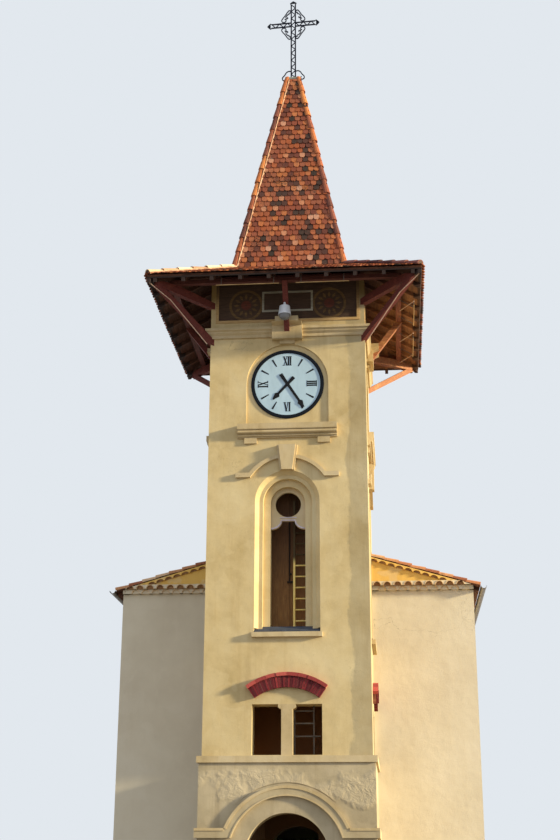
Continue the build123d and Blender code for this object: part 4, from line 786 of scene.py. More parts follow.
# %% Mesh helpers
def mesh_of(name, points, faces):
    """A mesh from points and faces, with every face turned outwards."""
    mesh = bpy.data.meshes.new(name)
    mesh.from_pydata(points, [], faces)
    work = bmesh.new()
    work.from_mesh(mesh)
    bmesh.ops.recalc_face_normals(work, faces=work.faces)
    work.to_mesh(mesh)
    work.free()
    return mesh


def prism(outline, low, high, name="prism"):
    """A closed plate with an anticlockwise outline in X and Y, between two heights."""
    count = len(outline)
    points = [(x, y, z) for z in (low, high) for x, y in outline]
    faces = [tuple(reversed(range(count))), tuple(range(count, 2 * count))]
    faces += [(k, (k + 1) % count, count + (k + 1) % count, count + k) for k in range(count)]
    return mesh_of(name, points, faces)


def box(low, high):
    return prism(((low[0], low[1]), (high[0], low[1]), (high[0], high[1]), (low[0], high[1])),
                 low[2], high[2], "box")


def placed(mesh, matrix):
    mesh.transform(matrix)
    return mesh


# %% Cutting and joining
def trimmed(mesh, point, normal):
    """Cuts away what lies beyond a plane and closes the cut."""
    work = bmesh.new()
    work.from_mesh(mesh)
    everything = work.verts[:] + work.edges[:] + work.faces[:]
    cut = bmesh.ops.bisect_plane(work, geom=everything, plane_co=point, plane_no=normal, clear_outer=True)
    rims = [part for part in cut["geom_cut"] if isinstance(part, bmesh.types.BMEdge)]
    bmesh.ops.holes_fill(work, edges=rims)
    work.to_mesh(mesh)
    work.free()
    return mesh


def joined(meshes):
    """One mesh from several, with their finishes and tones kept."""
    objects = [bpy.data.objects.new("part", mesh) for mesh in meshes]
    for part in objects:
        bpy.context.scene.collection.objects.link(part)
    with bpy.context.temp_override(active_object=objects[0], selected_editable_objects=objects):
        bpy.ops.object.join()
    mesh = objects[0].data
    bpy.data.objects.remove(objects[0])
    return mesh


# %% [markdown]
# ## Finishing and showing a piece
# What isn't laid by a tree still needs a finish and a middle tone. `show` then makes the object: it
# sets it riding on the body it moves with, hides the imported nodes it stands for and prints its triangles.

# %% Finishing and showing
MIDDLE_TONE = 0.5


def coated(mesh, finish):
    """Gives a whole mesh one finish and the middle tone."""
    mesh.materials.clear()
    mesh.materials.append(finish)
    layer = mesh.attributes.new("tone", "FLOAT", "POINT")
    layer.data.foreach_set("value", [MIDDLE_TONE] * len(mesh.vertices))
    return mesh


def show(name, mesh, replaced=(), body="building"):
    """Makes the finished piece, sets it riding on its body and hides the imported nodes it stands for."""
    mesh.name = name
    piece = bpy.data.objects.new(name, mesh)
    bpy.context.scene.collection.objects.link(piece)
    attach(piece, body)
    if replaced:
        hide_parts(*replaced)
    print(f"{name}: {sum(len(p.vertices) - 2 for p in mesh.polygons)} triangles")


# %% [markdown]
# ## The four sides
# The tower is square about the origin, so a piece is drawn once and turned to each side. The dial and
# the door are on the front only, and the rear is plain.

# %% The four sides
FRONT, RIGHT, REAR, LEFT = 0, 90, 180, -90
SIDES = (FRONT, RIGHT, REAR, LEFT)
DRESSED_SIDES = (FRONT, RIGHT, LEFT)
WALL_OUT = 1.8


def face(turn, out, height, pitch=90.0, along=0.0):
    """Places a flat drawing on a side: local X to the right, Y up the slope, Z outwards."""
    return spin(turn) @ shift(along, -out, height) @ spin(pitch, "X")


def mitred(mesh, turn):
    """Cuts a side's field on the two upright planes through the tower's corners."""
    for across in (-1, 1):
        trimmed(mesh, (0, 0, 0), spin(turn) @ Vector((across, 1, 0)))
    return mesh


print("the tower's walls stand", WALL_OUT, "m out on every side")

# %% [markdown]
# ## Scale tiles on the spire
# Small flat tiles with rounded lower ends hang in overlapping courses, each shifted by half a tile.
# A picture of tiles would look flat in low sun, so each is a real plate. Its lower end lies on the
# two tiles below it, so it stands a little proud, and that edge is what catches the light.

# %% A scale tile
SCALE_PITCH, SCALE_LONG, SCALE_THICK, SCALE_EXPOSURE = 0.144, 0.30, 0.018, 0.155
SCALE_HALF, SCALE_DROP, SCALE_LIFT = 0.465 * SCALE_PITCH, 0.48 * SCALE_PITCH, 2.2 * SCALE_THICK
SCALE_SWAY, SCALE_TILT, HALF_A_TILE = 0.006, 0.035, 0.5


def scale_tile():
    """A flat tile with a rounded lower end, leaning so that this end lies proud."""
    curve = [(SCALE_HALF * math.cos(a), SCALE_DROP - SCALE_DROP * math.sin(a)) for a in
             (math.pi * k / 5 for k in range(5, -1, -1))]
    tile = prism(curve + [(SCALE_HALF, SCALE_LONG), (-SCALE_HALF, SCALE_LONG)], 0.0, SCALE_THICK)
    for point in tile.vertices:
        point.co.z += SCALE_LIFT * (1 - point.co.y / SCALE_LONG)
    return tile


def scales(half, reach, seed):
    """A field of scale tiles wide enough for a side and long enough for its slope."""
    return lay(scale_tile(), spire_clay, 2 * math.ceil(half / SCALE_PITCH) + 1,
               math.ceil(reach / SCALE_EXPOSURE), SCALE_PITCH, SCALE_EXPOSURE, HALF_A_TILE, SCALE_SWAY,
               SCALE_TILT, seed)


print("a scale tile is", round(2 * SCALE_HALF, 3), "m wide and shows", SCALE_EXPOSURE, "m")

# %% Scale tiles on the spire
SPIRE_BASE_HALF, SPIRE_BASE_Z, SPIRE_FIRST_Z = 1.335, 15.545, 15.50
SPIRE_TOP_HALF, SPIRE_TOP_Z, SPIRE_CAP_Z, UNDER_CAP = 0.147, 21.634, 21.50, 0.03
SPIRE_LEAN = (SPIRE_BASE_HALF - SPIRE_TOP_HALF) / (SPIRE_TOP_Z - SPIRE_BASE_Z)
SPIRE_PITCH = 90 - math.degrees(math.atan(SPIRE_LEAN))


def spire_half(height):
    return SPIRE_BASE_HALF - (height - SPIRE_BASE_Z) * SPIRE_LEAN


spire_slope = (SPIRE_CAP_Z - SPIRE_FIRST_Z) / math.sin(math.radians(SPIRE_PITCH))
spire_fields = []
for number, turn in enumerate(SIDES):
    field = placed(scales(spire_half(SPIRE_FIRST_Z), spire_slope, 11 + number),
                   face(turn, spire_half(SPIRE_FIRST_Z), SPIRE_FIRST_Z, SPIRE_PITCH))
    spire_fields.append(mitred(field, turn))
show("spire_scales", trimmed(joined(spire_fields), (0, 0, SPIRE_CAP_Z + UNDER_CAP), (0, 0, 1)))

# %% [markdown]
# ## Scale tiles on the skirt
# The spire's foot flares into a shallow skirt that carries rain past the walls. The same tiles lie on
# it, over a bed that shuts the joints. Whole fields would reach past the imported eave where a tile
# sways, so they are trimmed along the front edge and across the two front corners.

# %% The skirt's slopes
EAVE_HALF, EAVE_Z, SKIRT_PITCH, TILE_LAYER, TUCKED_IN = 3.18, 14.49, 27.5, 0.09, 0.02
SKIRT_RISE, SKIRT_COS = math.tan(math.radians(SKIRT_PITCH)), math.cos(math.radians(SKIRT_PITCH))


def skirt_z(out, above=0.0):
    """Height of a point `out` from the axis that lies `above` the skirt's boards, squarely."""
    return EAVE_Z + (EAVE_HALF - out) * SKIRT_RISE + above / SKIRT_COS


SKIRT_TOP_HALF = ((SPIRE_BASE_Z - skirt_z(0.0, TILE_LAYER)) * SPIRE_LEAN + SPIRE_BASE_HALF) / (
    1 - SKIRT_RISE * SPIRE_LEAN)
skirt_slope = (EAVE_HALF - SKIRT_TOP_HALF) / SKIRT_COS


def on_skirt(mesh, turn, above=0.0, inset=0.0):
    """Lays a field on one slope of the skirt, mitres its ends and stops it at the spire."""
    placed(mesh, face(turn, EAVE_HALF - inset, skirt_z(EAVE_HALF - inset, above), SKIRT_PITCH))
    mitred(mesh, turn)
    head = spin(turn) @ Vector((0, TUCKED_IN - SKIRT_TOP_HALF, 0))
    return trimmed(mesh, head, spin(turn) @ Vector((0, 1, 0)))


print("the skirt's tiles meet the spire", round(SKIRT_TOP_HALF, 3), "m out")

# %% Scale tiles on the skirt
BED_THICK, FRONT_INSET, BED_INSET, EAVE_CORNER = 0.045, 0.038, 0.078, 3.14
skirt_fields = []
for number, turn in enumerate(SIDES):
    bed = coated(box((-EAVE_HALF, 0, 0), (EAVE_HALF, skirt_slope, BED_THICK)), tile_bed)
    skirt_fields += [on_skirt(scales(EAVE_HALF, skirt_slope, 21 + number), turn, BED_THICK,
                              FRONT_INSET if turn == FRONT else 0.0),
                     on_skirt(bed, turn, 0.0, BED_INSET)]
skirt_scales = trimmed(joined(skirt_fields), (0, -EAVE_HALF, 0), (0, -1, 0))
for across in (-1, 1):
    trimmed(skirt_scales, (across * EAVE_CORNER, -EAVE_CORNER, 0), (across, -1, 0))
show("skirt_scales", skirt_scales, ("skirt_tiles",))

# %% [markdown]
# ## Half-round tiles
# An old shape for a roof tile is a tapering half pipe, so that each slips under the next. It closes
# hips and ridges and covers the nave. A cylinder could be cut in half, but writing the two arcs at
# each end gives the taper, the thickness and few faces at once.

# %% Half-round tiles
PLUG_SIDES = 8


def canal_tile(wide, narrow, long, thick, sweep=180.0, steps=6, lift=0.0):
    """A tapering half-round tile along Y with its crown up and its wide end at Y = 0."""
    points, faces = [], []
    angles = [math.radians(90 - sweep / 2 + sweep * k / steps) for k in range(steps + 1)]
    for y, outer in ((0.0, wide), (long, narrow)):
        for radius in (outer, outer - thick):
            points += [(radius * math.cos(a), y, radius * math.sin(a) + lift * (1 - y / long))
                       for a in angles]
    row = steps + 1
    for k in range(steps):
        faces += [(k, k + 1, 2 * row + k + 1, 2 * row + k),
                  (row + k, 3 * row + k, 3 * row + k + 1, row + k + 1),
                  (k, row + k, row + k + 1, k + 1),
                  (2 * row + k, 2 * row + k + 1, 3 * row + k + 1, 3 * row + k)]
    for k in (0, steps):
        faces.append((k, 2 * row + k, 3 * row + k, row + k))
    return mesh_of("canal_tile", points, faces)


def half_disc(radius, thick):
    """A half-round plug of mortar, flat side down, standing across Y."""
    return placed(prism(half_circle(radius, PLUG_SIDES), -thick, 0.0), spin(90, "X"))


# %% [markdown]
# ## Hip tiles
# Each corner of the skirt and the spire is closed by half-round tiles, the narrow end of one under
# the wide end of the next. Dark mortar plugs show at the lower ends, a roll of it fills the hollow,
# and a pale fillet runs along the right side. They could be set by hand, but a row that is divided
# evenly always fits its corner. On the skirt's two front hips the clay carries painted light: the
# front-left hip is paler, painted sunlight, and the front-right hip is darker, painted shade.

# %% A row of hip tiles
HIP_WIDE_R, HIP_NARROW_R, HIP_LONG, HIP_EXPOSURE, HIP_THICK = 0.094, 0.062, 0.55, 0.474, 0.018
HIP_SWAY, HIP_TILT, PLUG_SWAY, PLUG_TILT, PLUG_PROUD, PLUG_THICK = 0.004, 0.02, 0.003, 0.03, 0.012, 0.06
ROLL_WIDE_R, ROLL_NARROW_R, ROLL_THICK = 0.060, 0.059, 0.05
FILLET_LOW, FILLET_WIDE, FILLET_TOP = (0.089, 0.0, -0.04), 0.014, 0.010
DIAGONAL = math.sqrt(2)


def hip_row(start, end, turn, seed, fired=ridge_clay):
    """Hip tiles along one corner, from one (distance out, height) to another."""
    run, climb = (start[0] - end[0]) * DIAGONAL, end[1] - start[1]
    slope = math.hypot(run, climb)
    count = math.ceil(slope / HIP_EXPOSURE)
    exposure = slope / count
    tile = canal_tile(HIP_WIDE_R, HIP_NARROW_R, HIP_LONG, HIP_THICK)
    plug = half_disc(HIP_NARROW_R + PLUG_PROUD, PLUG_THICK)
    roll = canal_tile(ROLL_WIDE_R, ROLL_NARROW_R, slope, ROLL_THICK)
    fillet = box(FILLET_LOW, (FILLET_LOW[0] + FILLET_WIDE, slope, FILLET_TOP))
    rows = [line_up(tile, fired, count, exposure, HIP_SWAY, HIP_TILT, seed),
            line_up(plug, hip_mortar, count, exposure, PLUG_SWAY, PLUG_TILT, seed),
            coated(roll, hip_mortar), coated(fillet, fillet_mortar)]
    line = face(turn, start[0] * DIAGONAL, start[1], math.degrees(math.atan2(climb, run)))
    return [placed(mesh, line) for mesh in rows]


# %% Hip tiles
CORNERS = tuple(turn + 45 for turn in SIDES)
# Corner by corner from the front-right round by the rear: painted shade, plain clay, plain clay, painted
# sunlight.
SKIRT_CLAYS = (shaded_hip_clay, ridge_clay, ridge_clay, sunlit_hip_clay)
HIP_INSET, HIP_SUNK, HIP_LOW, HIP_TOP = 0.04, 0.013, 0.01, 0.02
front_corner, rear_corner = ((out, skirt_z(out, TILE_LAYER - HIP_LOW)) for out in
                             (EAVE_HALF - HIP_INSET - FRONT_INSET, EAVE_HALF - HIP_INSET))
skirt_head = (SKIRT_TOP_HALF, skirt_z(SKIRT_TOP_HALF, TILE_LAYER))
spire_head = (spire_half(SPIRE_CAP_Z), SPIRE_CAP_Z)
spire_line = [(out - HIP_SUNK, height) for out, height in (skirt_head, spire_head)]
hips = []
for number, turn in enumerate(CORNERS):
    eave_corner = front_corner if abs(turn) == 45 else rear_corner
    hips += hip_row(eave_corner, skirt_head, turn, 31 + number, SKIRT_CLAYS[number])
    hips += hip_row(*spire_line, turn, 41 + number)
show("hip_rows", trimmed(joined(hips), (0, 0, SPIRE_TOP_Z - HIP_TOP), (0, 0, 1)), ("hip_tiles",))

# %% [markdown]
# ## Boards under the skirt
# From the street the eave shows its underside: narrow boards nailed across the rafters. Lines painted
# on one plate would vanish in the shade, so each board is laid by itself, with a small gap.

# %% Deck boards
BOARD_PITCH, BOARD_GAP, BOARD_INSET, DECK_THICK = 0.105, 0.002, 0.066, 0.03
deck = []
for number, turn in enumerate(SIDES):
    board = box((-EAVE_HALF, BOARD_GAP, 0), (EAVE_HALF, BOARD_PITCH - BOARD_GAP, DECK_THICK))
    boards = line_up(board, deck_boards, math.ceil(skirt_slope / BOARD_PITCH), BOARD_PITCH,
                     seed=51 + number)
    deck.append(on_skirt(boards, turn, -DECK_THICK, BOARD_INSET))
show("deck_boards", joined(deck), ("skirt_deck",))

# %% [markdown]
# ## Setting things round a circle
# Bricks of an arch, bars of a dial and petals of a round all stand round a centre. They could be set
# on a circle one by one. But when one is drawn at its distance from the origin, it is enough that a
# second tree puts every copy at the origin and turns it. `sector` draws the curved bars and rings.


# %% The fan tree
fan_tree, given = new_tree("fan", Count="Int", Start="Float", Step="Float", Tilt="Float", Seed="Int",
                           Finish="Material")
centre_points = put(fan_tree, "GeometryNodeMeshLine", {"Count": given["Count"], "Offset": (0, 0, 0)})
bearing = plus(fan_tree, given["Start"],
               times(fan_tree, put(fan_tree, "GeometryNodeInputIndex"), given["Step"]))
turning = put(fan_tree, "ShaderNodeCombineXYZ", {2: times(fan_tree, bearing, -1.0)})
settle(fan_tree, given, centre_points, turning)
print("fan tree has", len(fan_tree.nodes), "nodes")


# %% Fans and sectors
def fan(mesh, finish, count, start, step, tilt=0.0, seed=1):
    """Turns copies of a mesh about the origin; bearings in degrees run clockwise from the top."""
    return grow(mesh, fan_tree, Count=count, Start=math.radians(start), Step=math.radians(step),
                Tilt=float(tilt), Seed=seed, Finish=finish)


def sector(inner, outer, half_angle, steps, low, high):
    """A curved bar about the origin, middle at the top."""
    angles = [math.radians(half_angle * (1 - 2 * k / steps)) for k in range(steps + 1)]
    outline = [(outer * math.sin(a), outer * math.cos(a)) for a in angles]
    outline += [(inner * math.sin(a), inner * math.cos(a)) for a in reversed(angles)]
    return prism(outline, low, high, "sector")


# %% [markdown]
# ## Brick arches
# Over each twin window a shallow arch of bricks stands on end, painted red, under a course of longer
# bricks. Joints drawn on a band would be too even, so the bricks are laid round a core of mortar,
# each with its own tone and a slight turn.

# %% Brick arches
ARCH_Z, ARCH_INNER, ARCH_CAP, ARCH_OUTER, ARCH_HALF_ANGLE = 4.226, 1.19, 1.43, 1.505, 35.8
ARCH_OUT, ARCH_CAP_OUT, SOLDIERS, CAP_BRICKS, BRICK_TILT = 0.085, 0.115, 31, 8, 0.004
SOLDIER_SHARE, CAP_SHARE, BRICK_JOINT, SUNK = 0.40, 0.487, 0.006, 0.01
CORE_SUNK, CORE_LOW, CORE_SHORT = 0.012, 0.008, 0.3
soldier_step, cap_step = 2 * ARCH_HALF_ANGLE / SOLDIERS, 2 * ARCH_HALF_ANGLE / CAP_BRICKS
arches = []
for turn in DRESSED_SIDES:
    soldier = sector(ARCH_INNER, ARCH_CAP - BRICK_JOINT, SOLDIER_SHARE * soldier_step, 1, -SUNK, ARCH_OUT)
    cap = sector(ARCH_CAP, ARCH_OUTER, CAP_SHARE * cap_step, 3, -SUNK, ARCH_CAP_OUT)
    core = sector(ARCH_INNER + BRICK_JOINT, ARCH_OUTER - CORE_LOW, ARCH_HALF_ANGLE - CORE_SHORT, 16,
                  -SUNK, ARCH_OUT - CORE_SUNK)
    rows = [fan(soldier, brick_red, SOLDIERS, soldier_step / 2 - ARCH_HALF_ANGLE, soldier_step,
                BRICK_TILT, 5),
            fan(cap, cap_red, CAP_BRICKS, cap_step / 2 - ARCH_HALF_ANGLE, cap_step, BRICK_TILT, 6),
            coated(core, joint_mortar)]
    arches += [placed(mesh, face(turn, WALL_OUT, ARCH_Z)) for mesh in rows]
show("arch_bricks", joined(arches), ("brick_arches",))

# %% [markdown]
# ## Clock dial
# Eight tapering bars and four Roman numerals are laid on the enamel. A typeface could give the
# numerals, but its strokes would not have this pen's thick and thin, so each letter is built from
# straight strokes with a short foot at each end. The small lettering on the dial is left off.

# %% Strokes and numerals
INK_THICK, THICK_STROKE, THIN_STROKE, FOOT_HALF, FOOT_TALL = 0.003, 0.033, 0.015, 0.027, 0.012
LETTER_WIDE, LETTER_MARGIN = {"I": 1.0, "V": 2.0, "X": 2.0}, 0.2


def stroke(low_x, high_x, tall, width):
    """A straight stroke from (low_x, 0) to (high_x, tall), with a foot at each end."""
    half = width / 2
    bars = [((low_x - half, 0), (low_x + half, 0), (high_x + half, tall), (high_x - half, tall))]
    for x, y in ((low_x, 0), (high_x, tall - FOOT_TALL)):
        bars.append(((x - FOOT_HALF, y), (x + FOOT_HALF, y), (x + FOOT_HALF, y + FOOT_TALL),
                     (x - FOOT_HALF, y + FOOT_TALL)))
    return [prism(bar, 0.0, INK_THICK) for bar in bars]


def numeral(letters, tall, wide):
    """Roman letters side by side, centred on the origin."""
    unit = wide / sum(LETTER_WIDE[letter] for letter in letters)
    strokes, left = [], -wide / 2
    for letter in letters:
        right = left + LETTER_WIDE[letter] * unit
        near, far, middle = left + LETTER_MARGIN * unit, right - LETTER_MARGIN * unit, (left + right) / 2
        if letter == "I":
            strokes += stroke(middle, middle, tall, THICK_STROKE)
        elif letter == "V":
            strokes += stroke(middle, near, tall, THICK_STROKE) + stroke(middle, far, tall, THIN_STROKE)
        else:
            strokes += stroke(far, near, tall, THICK_STROKE) + stroke(near, far, tall, THIN_STROKE)
        left = right
    return placed(joined(strokes), shift(0, -tall / 2, 0))


# %% Dial marks
DIAL_Z, DIAL_R, DIAL_OUT = 12.33, 0.76, 1.770
BAR_INNER, BAR_OUTER, BAR_INNER_HALF, BAR_OUTER_HALF = 0.655 * DIAL_R, 0.916 * DIAL_R, 0.011, 0.021
NUMERALS = (  # letters, bearing, turn, distance out as a share of the dial, height, width
    ("XII", 0, 0, 0.75, 0.228, 0.189), ("III", 90, -90, 0.737, 0.238, 0.14),
    ("VI", 180, 0, 0.733, 0.223, 0.146), ("IX", 270, 90, 0.744, 0.237, 0.149))
marks = []
for first in (30, 60):
    bar = prism(((-BAR_INNER_HALF, BAR_INNER), (BAR_INNER_HALF, BAR_INNER),
                 (BAR_OUTER_HALF, BAR_OUTER), (-BAR_OUTER_HALF, BAR_OUTER)), 0.0, INK_THICK)
    marks.append(fan(bar, hand_paint, 4, first, 90))
for letters, bearing, turn, share, tall, wide in NUMERALS:
    angle, out = math.radians(bearing), share * DIAL_R
    drawn = placed(numeral(letters, tall, wide), shift(out * math.sin(angle), out * math.cos(angle), 0)
                   @ spin(turn))
    marks.append(coated(drawn, hand_paint))
show("dial_marks", placed(joined(marks), face(FRONT, DIAL_OUT, DIAL_Z)))

# %% [markdown]
# ## Bezel
# A dark ring covers the joint between the dial and the wall. Turned metal has a stepped edge. A full
# lathe shape isn't needed to show it: two flat rings, the narrower one on top, catch the light enough.

# %% Bezel
RING_OUTER, RING_BACK, RING_FRONT, RING_STEP, RING_PROUD = 0.840, 1.740, 1.781, 0.018, 0.005
RING_SIDES, RING_DEEP, RING_LIFT = 64, RING_FRONT - RING_BACK, 0.001
bezel = [sector(DIAL_R, RING_OUTER, 180, RING_SIDES, 0.0, RING_DEEP),
         sector(DIAL_R + RING_STEP, RING_OUTER - RING_STEP, 180, RING_SIDES, RING_LIFT,
                RING_DEEP + RING_PROUD)]
show("clock_bezel", coated(placed(joined(bezel), face(FRONT, RING_BACK, DIAL_Z)), ring_paint),
     ("clock_ring",))

# %% [markdown]
# ## Recess lining
# The clock stands in a shallow round-headed recess, and every side has one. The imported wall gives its
# depth. A thin skin of the tower's plaster on its back brings it to the depth that the picture shows.

# %% Recess lining
RECESS_HALF, RECESS_LOW, RECESS_SPRING, RECESS_OUT = 0.940, 11.33, 12.36, 1.740
LINING_SUNK, LINING, ARC_STEPS = 0.002, 0.022, 32
recess = [(-RECESS_HALF, RECESS_LOW), (RECESS_HALF, RECESS_LOW)]
recess += [(x, RECESS_SPRING + y) for x, y in half_circle(RECESS_HALF, ARC_STEPS)]
linings = [placed(prism(recess, -LINING_SUNK, LINING), face(turn, RECESS_OUT, 0)) for turn in SIDES]
show("recess_linings", coated(joined(linings), tower_plaster))

# %% [markdown]
# ## Hands
# Each hand is a cut plate: a tail behind the arbor, a bar, and a barbed leaf near the tip. One outline
# with five measures draws both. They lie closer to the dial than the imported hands, which need room to
# turn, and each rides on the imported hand's body.

# %% A pointer
HAND_THICK, HAND_LIFT, ARBOR_R, ARBOR_SUNK, BOSS_R, DISC_SIDES = 0.005, 0.001, 0.012, 0.002, 0.05, 24


def disc(radius, low, high):
    return prism(circle(radius, DISC_SIDES), low, high, "disc")


def pointer(reach, tail, half, barb_low, barb_half):
    """A broad bar with a barbed head near its tip, pointing up; its widths are shares of `half`."""
    side = [(1.25 * half, -tail), (0.9 * half, 0.0), (0.8 * half, barb_low - 0.03),
            (barb_half, barb_low + 0.015), (0.85 * half, barb_low + 0.11), (0.55 * half, reach)]
    return prism(side + [(-x, y) for x, y in reversed(side)], 0.0, HAND_THICK, "pointer")


# %% Hands
MINUTE_OUT, HOUR_OUT, HOUR, MINUTE = 1.7805, 1.7745, 7, 24.5
for name, body, out, turn, outline in (
    ("hour_pointer", "hour_hand", HOUR_OUT, (HOUR + MINUTE / 60) * 30, (0.498, 0.22, 0.035, 0.34, 0.070)),
    ("minute_pointer", "minute_hand", MINUTE_OUT, MINUTE * 6, (0.688, 0.29, 0.035, 0.52, 0.068)),
):
    boss = disc(BOSS_R, 0.0, HAND_THICK - HAND_LIFT)
    arbor = disc(ARBOR_R, DIAL_OUT - out - ARBOR_SUNK, HAND_LIFT)
    head = placed(joined([pointer(*outline), boss, arbor]), spin(-turn))
    show(name, coated(placed(head, face(FRONT, out, DIAL_Z)), hand_paint), (body,), body)

# %% [markdown]
# ## Run mouldings
# The clock sills have a roll under the slab and a bead below it, and the band over the door has a
# raised outer edge. Plasterers run such mouldings with a cut template drawn along a rail. Here each is
# a long prism or a flat arc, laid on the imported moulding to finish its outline.

# %% Run mouldings
SILL_HALF, ROLL_SIDES = 1.125, 12
SILL_ROLLS = ((1.886, 11.145, 0.046), (1.858, 11.058, 0.018), (1.935, 11.203, 0.014))  # out, height, radius
DOOR_SPRING, BAND_INNER, BAND_OUTER, BAND_HIGH, BAND_OUT, BAND_EDGE_X = 1.98, 1.21, 1.42, 2.555, 1.915, 1.30
OUTER_EDGE, OUTER_PROUD, OUTER_SWEEP, LEVEL_EDGE = 0.058, 0.014, 66.0, 0.055
INNER_EDGE, INNER_PROUD, INNER_SWEEP = 0.028, 0.009, 72.0
mouldings = []
for out, height, radius in SILL_ROLLS:
    roll = placed(prism(circle(radius, ROLL_SIDES), -SILL_HALF, SILL_HALF), spin(90, "Y"))
    mouldings += [placed(roll.copy(), face(turn, out, height)) for turn in SIDES]
arch_band = [sector(BAND_OUTER - OUTER_EDGE, BAND_OUTER, OUTER_SWEEP, ARC_STEPS, 0.0, OUTER_PROUD),
             sector(BAND_INNER, BAND_INNER + INNER_EDGE, INNER_SWEEP, ARC_STEPS, 0.0, INNER_PROUD)]
mouldings += [placed(mesh, face(FRONT, BAND_OUT, DOOR_SPRING)) for mesh in arch_band]
for low_x, high_x in ((BAND_EDGE_X, BAND_OUT), (-BAND_OUT, -BAND_EDGE_X)):
    level = box((low_x, BAND_HIGH - LEVEL_EDGE, 0), (high_x, BAND_HIGH, OUTER_PROUD))
    mouldings.append(placed(level, face(FRONT, BAND_OUT, 0)))
show("run_mouldings", joined([coated(mesh, trim_plaster) for mesh in mouldings]))

# %% [markdown]
# ## Nave roof
# Half-round tiles lie in pairs on a mortar bed: channels with the hollow up, covers over the gaps
# between them, laid up the slope from the eave to the ridge. One wavy sheet would be lighter, but it
# can't show the laps. Out over the verges the bed is thin, and over the walls a slab fills it up.

# %% The nave's slopes
NAVE_EDGE, NAVE_RIDGE_Z, NAVE_PITCH, NAVE_HALF = 4.36, 9.42, 16.4, 4.19
NAVE_FRONT_Y, NAVE_REAR_Y, NAVE_VERGE = 0.95, 13.25, 0.18
nave_cos, nave_rise = math.cos(math.radians(NAVE_PITCH)), math.tan(math.radians(NAVE_PITCH))
nave_slope = NAVE_EDGE / nave_cos
nave_wall_long = NAVE_REAR_Y - NAVE_FRONT_Y
nave_long = nave_wall_long + 2 * NAVE_VERGE
nave_middle_y = (NAVE_FRONT_Y + NAVE_REAR_Y) / 2


def nave_z(out, deep=0.0):
    """Height of a point `out` from the ridge's line, `deep` below the roof's top, squarely."""
    return NAVE_RIDGE_Z - out * nave_rise - deep / nave_cos


def on_nave(mesh, turn, sink=0.0):
    """Lays a field on one slope of the nave and stops it at the ridge."""
    side = 1 if turn == RIGHT else -1
    placed(mesh, face(turn, NAVE_EDGE, nave_z(NAVE_EDGE), NAVE_PITCH, side * nave_middle_y)
           @ shift(0, 0, -sink))
    return trimmed(mesh, (0, 0, 0), (-side, 0, 0))


print("the nave's roof is", round(nave_long, 2), "m long and", round(nave_slope, 2), "m up each slope")

# %% Nave tiles
BED_DEEP, SLAB_DEEP, BED_FILM, CANAL_SINK, CANAL_LIFT = 0.05, 0.14, 0.012, 0.045, 0.016
CANAL_COLUMNS, CANAL_LONG, CANAL_EXPOSURE, CANAL_THICK = 51, 0.42, 0.335, 0.013
CANAL_WIDE_R, CANAL_NARROW_R, COVER_SWEEP, CHANNEL_SWEEP = 0.098, 0.078, 170, 150
COVER_SWAY, COVER_TILT, CHANNEL_SWAY, CHANNEL_TILT = 0.006, 0.03, 0.004, 0.02
canal_pitch = nave_long / CANAL_COLUMNS
nave_courses = math.floor(nave_slope / CANAL_EXPOSURE)
for side, turn in (("right", RIGHT), ("left", LEFT)):
    cover = canal_tile(CANAL_WIDE_R, CANAL_NARROW_R, CANAL_LONG, CANAL_THICK, COVER_SWEEP, 5, CANAL_LIFT)
    channel = canal_tile(CANAL_NARROW_R, CANAL_WIDE_R, CANAL_LONG, CANAL_THICK, CHANNEL_SWEEP, 4)
    placed(channel, spin(180, "Y") @ shift(0, 0, -CANAL_NARROW_R))
    covers = lay(cover, roof_clay, CANAL_COLUMNS, nave_courses, canal_pitch, CANAL_EXPOSURE, 0,
                 COVER_SWAY, COVER_TILT, 61)
    channels = lay(channel, roof_clay, CANAL_COLUMNS - 1, nave_courses, canal_pitch, CANAL_EXPOSURE, 0,
                   CHANNEL_SWAY, CHANNEL_TILT, 62)
    beds = [coated(box((-long / 2, 0, low), (long / 2, nave_slope + SLAB_DEEP, -BED_DEEP)), tile_bed)
            for long, low in ((nave_long, -BED_DEEP - BED_FILM), (nave_wall_long, -SLAB_DEEP))]
    show(f"nave_tiles_{side}", joined([on_nave(covers, turn, CANAL_SINK), on_nave(channels, turn, CANAL_SINK),
                                       *[on_nave(bed, turn) for bed in beds]]),
         (f"nave_roof_{side}",))

# %% [markdown]
# ## Ridge tiles
# One line of larger half-round tiles closes the nave's top, bedded on mortar that shows at the ends.
# It is laid like a hip, but level, and cut off square where it meets the tower and the rear verge.

# %% Ridge tiles
RIDGE_R, RIDGE_NARROW_R, RIDGE_LONG, RIDGE_EXPOSURE, RIDGE_START = 0.118, 0.100, 0.43, 0.38, 1.80
RIDGE_PLUG, RIDGE_SPARE, RIDGE_SINK, RIDGE_SWAY, RIDGE_TILT = 0.05, 0.05, 0.035, 0.003, 0.012
ridge_end = NAVE_REAR_Y + NAVE_VERGE
ridge_long = ridge_end - RIDGE_START
ridge_count = math.ceil(ridge_long / RIDGE_EXPOSURE)
ridge_exposure = (ridge_long - RIDGE_SPARE) / ridge_count
ridge_tile = canal_tile(RIDGE_R, RIDGE_NARROW_R, RIDGE_LONG, CANAL_THICK)
ridge_plug = half_disc(RIDGE_NARROW_R, RIDGE_PLUG)
ridge = joined([line_up(ridge_tile, ridge_clay, ridge_count, ridge_exposure, RIDGE_SWAY, RIDGE_TILT, 71),
                line_up(ridge_plug, hip_mortar, ridge_count, ridge_exposure, RIDGE_SWAY, 0.0, 71)])
placed(ridge, shift(0, RIDGE_START, NAVE_RIDGE_Z - RIDGE_SINK))
trimmed(ridge, (0, ridge_end, 0), (0, 1, 0))
show("ridge_row", trimmed(ridge, (0, RIDGE_START, 0), (0, -1, 0)), ("nave_ridge_tiles",))

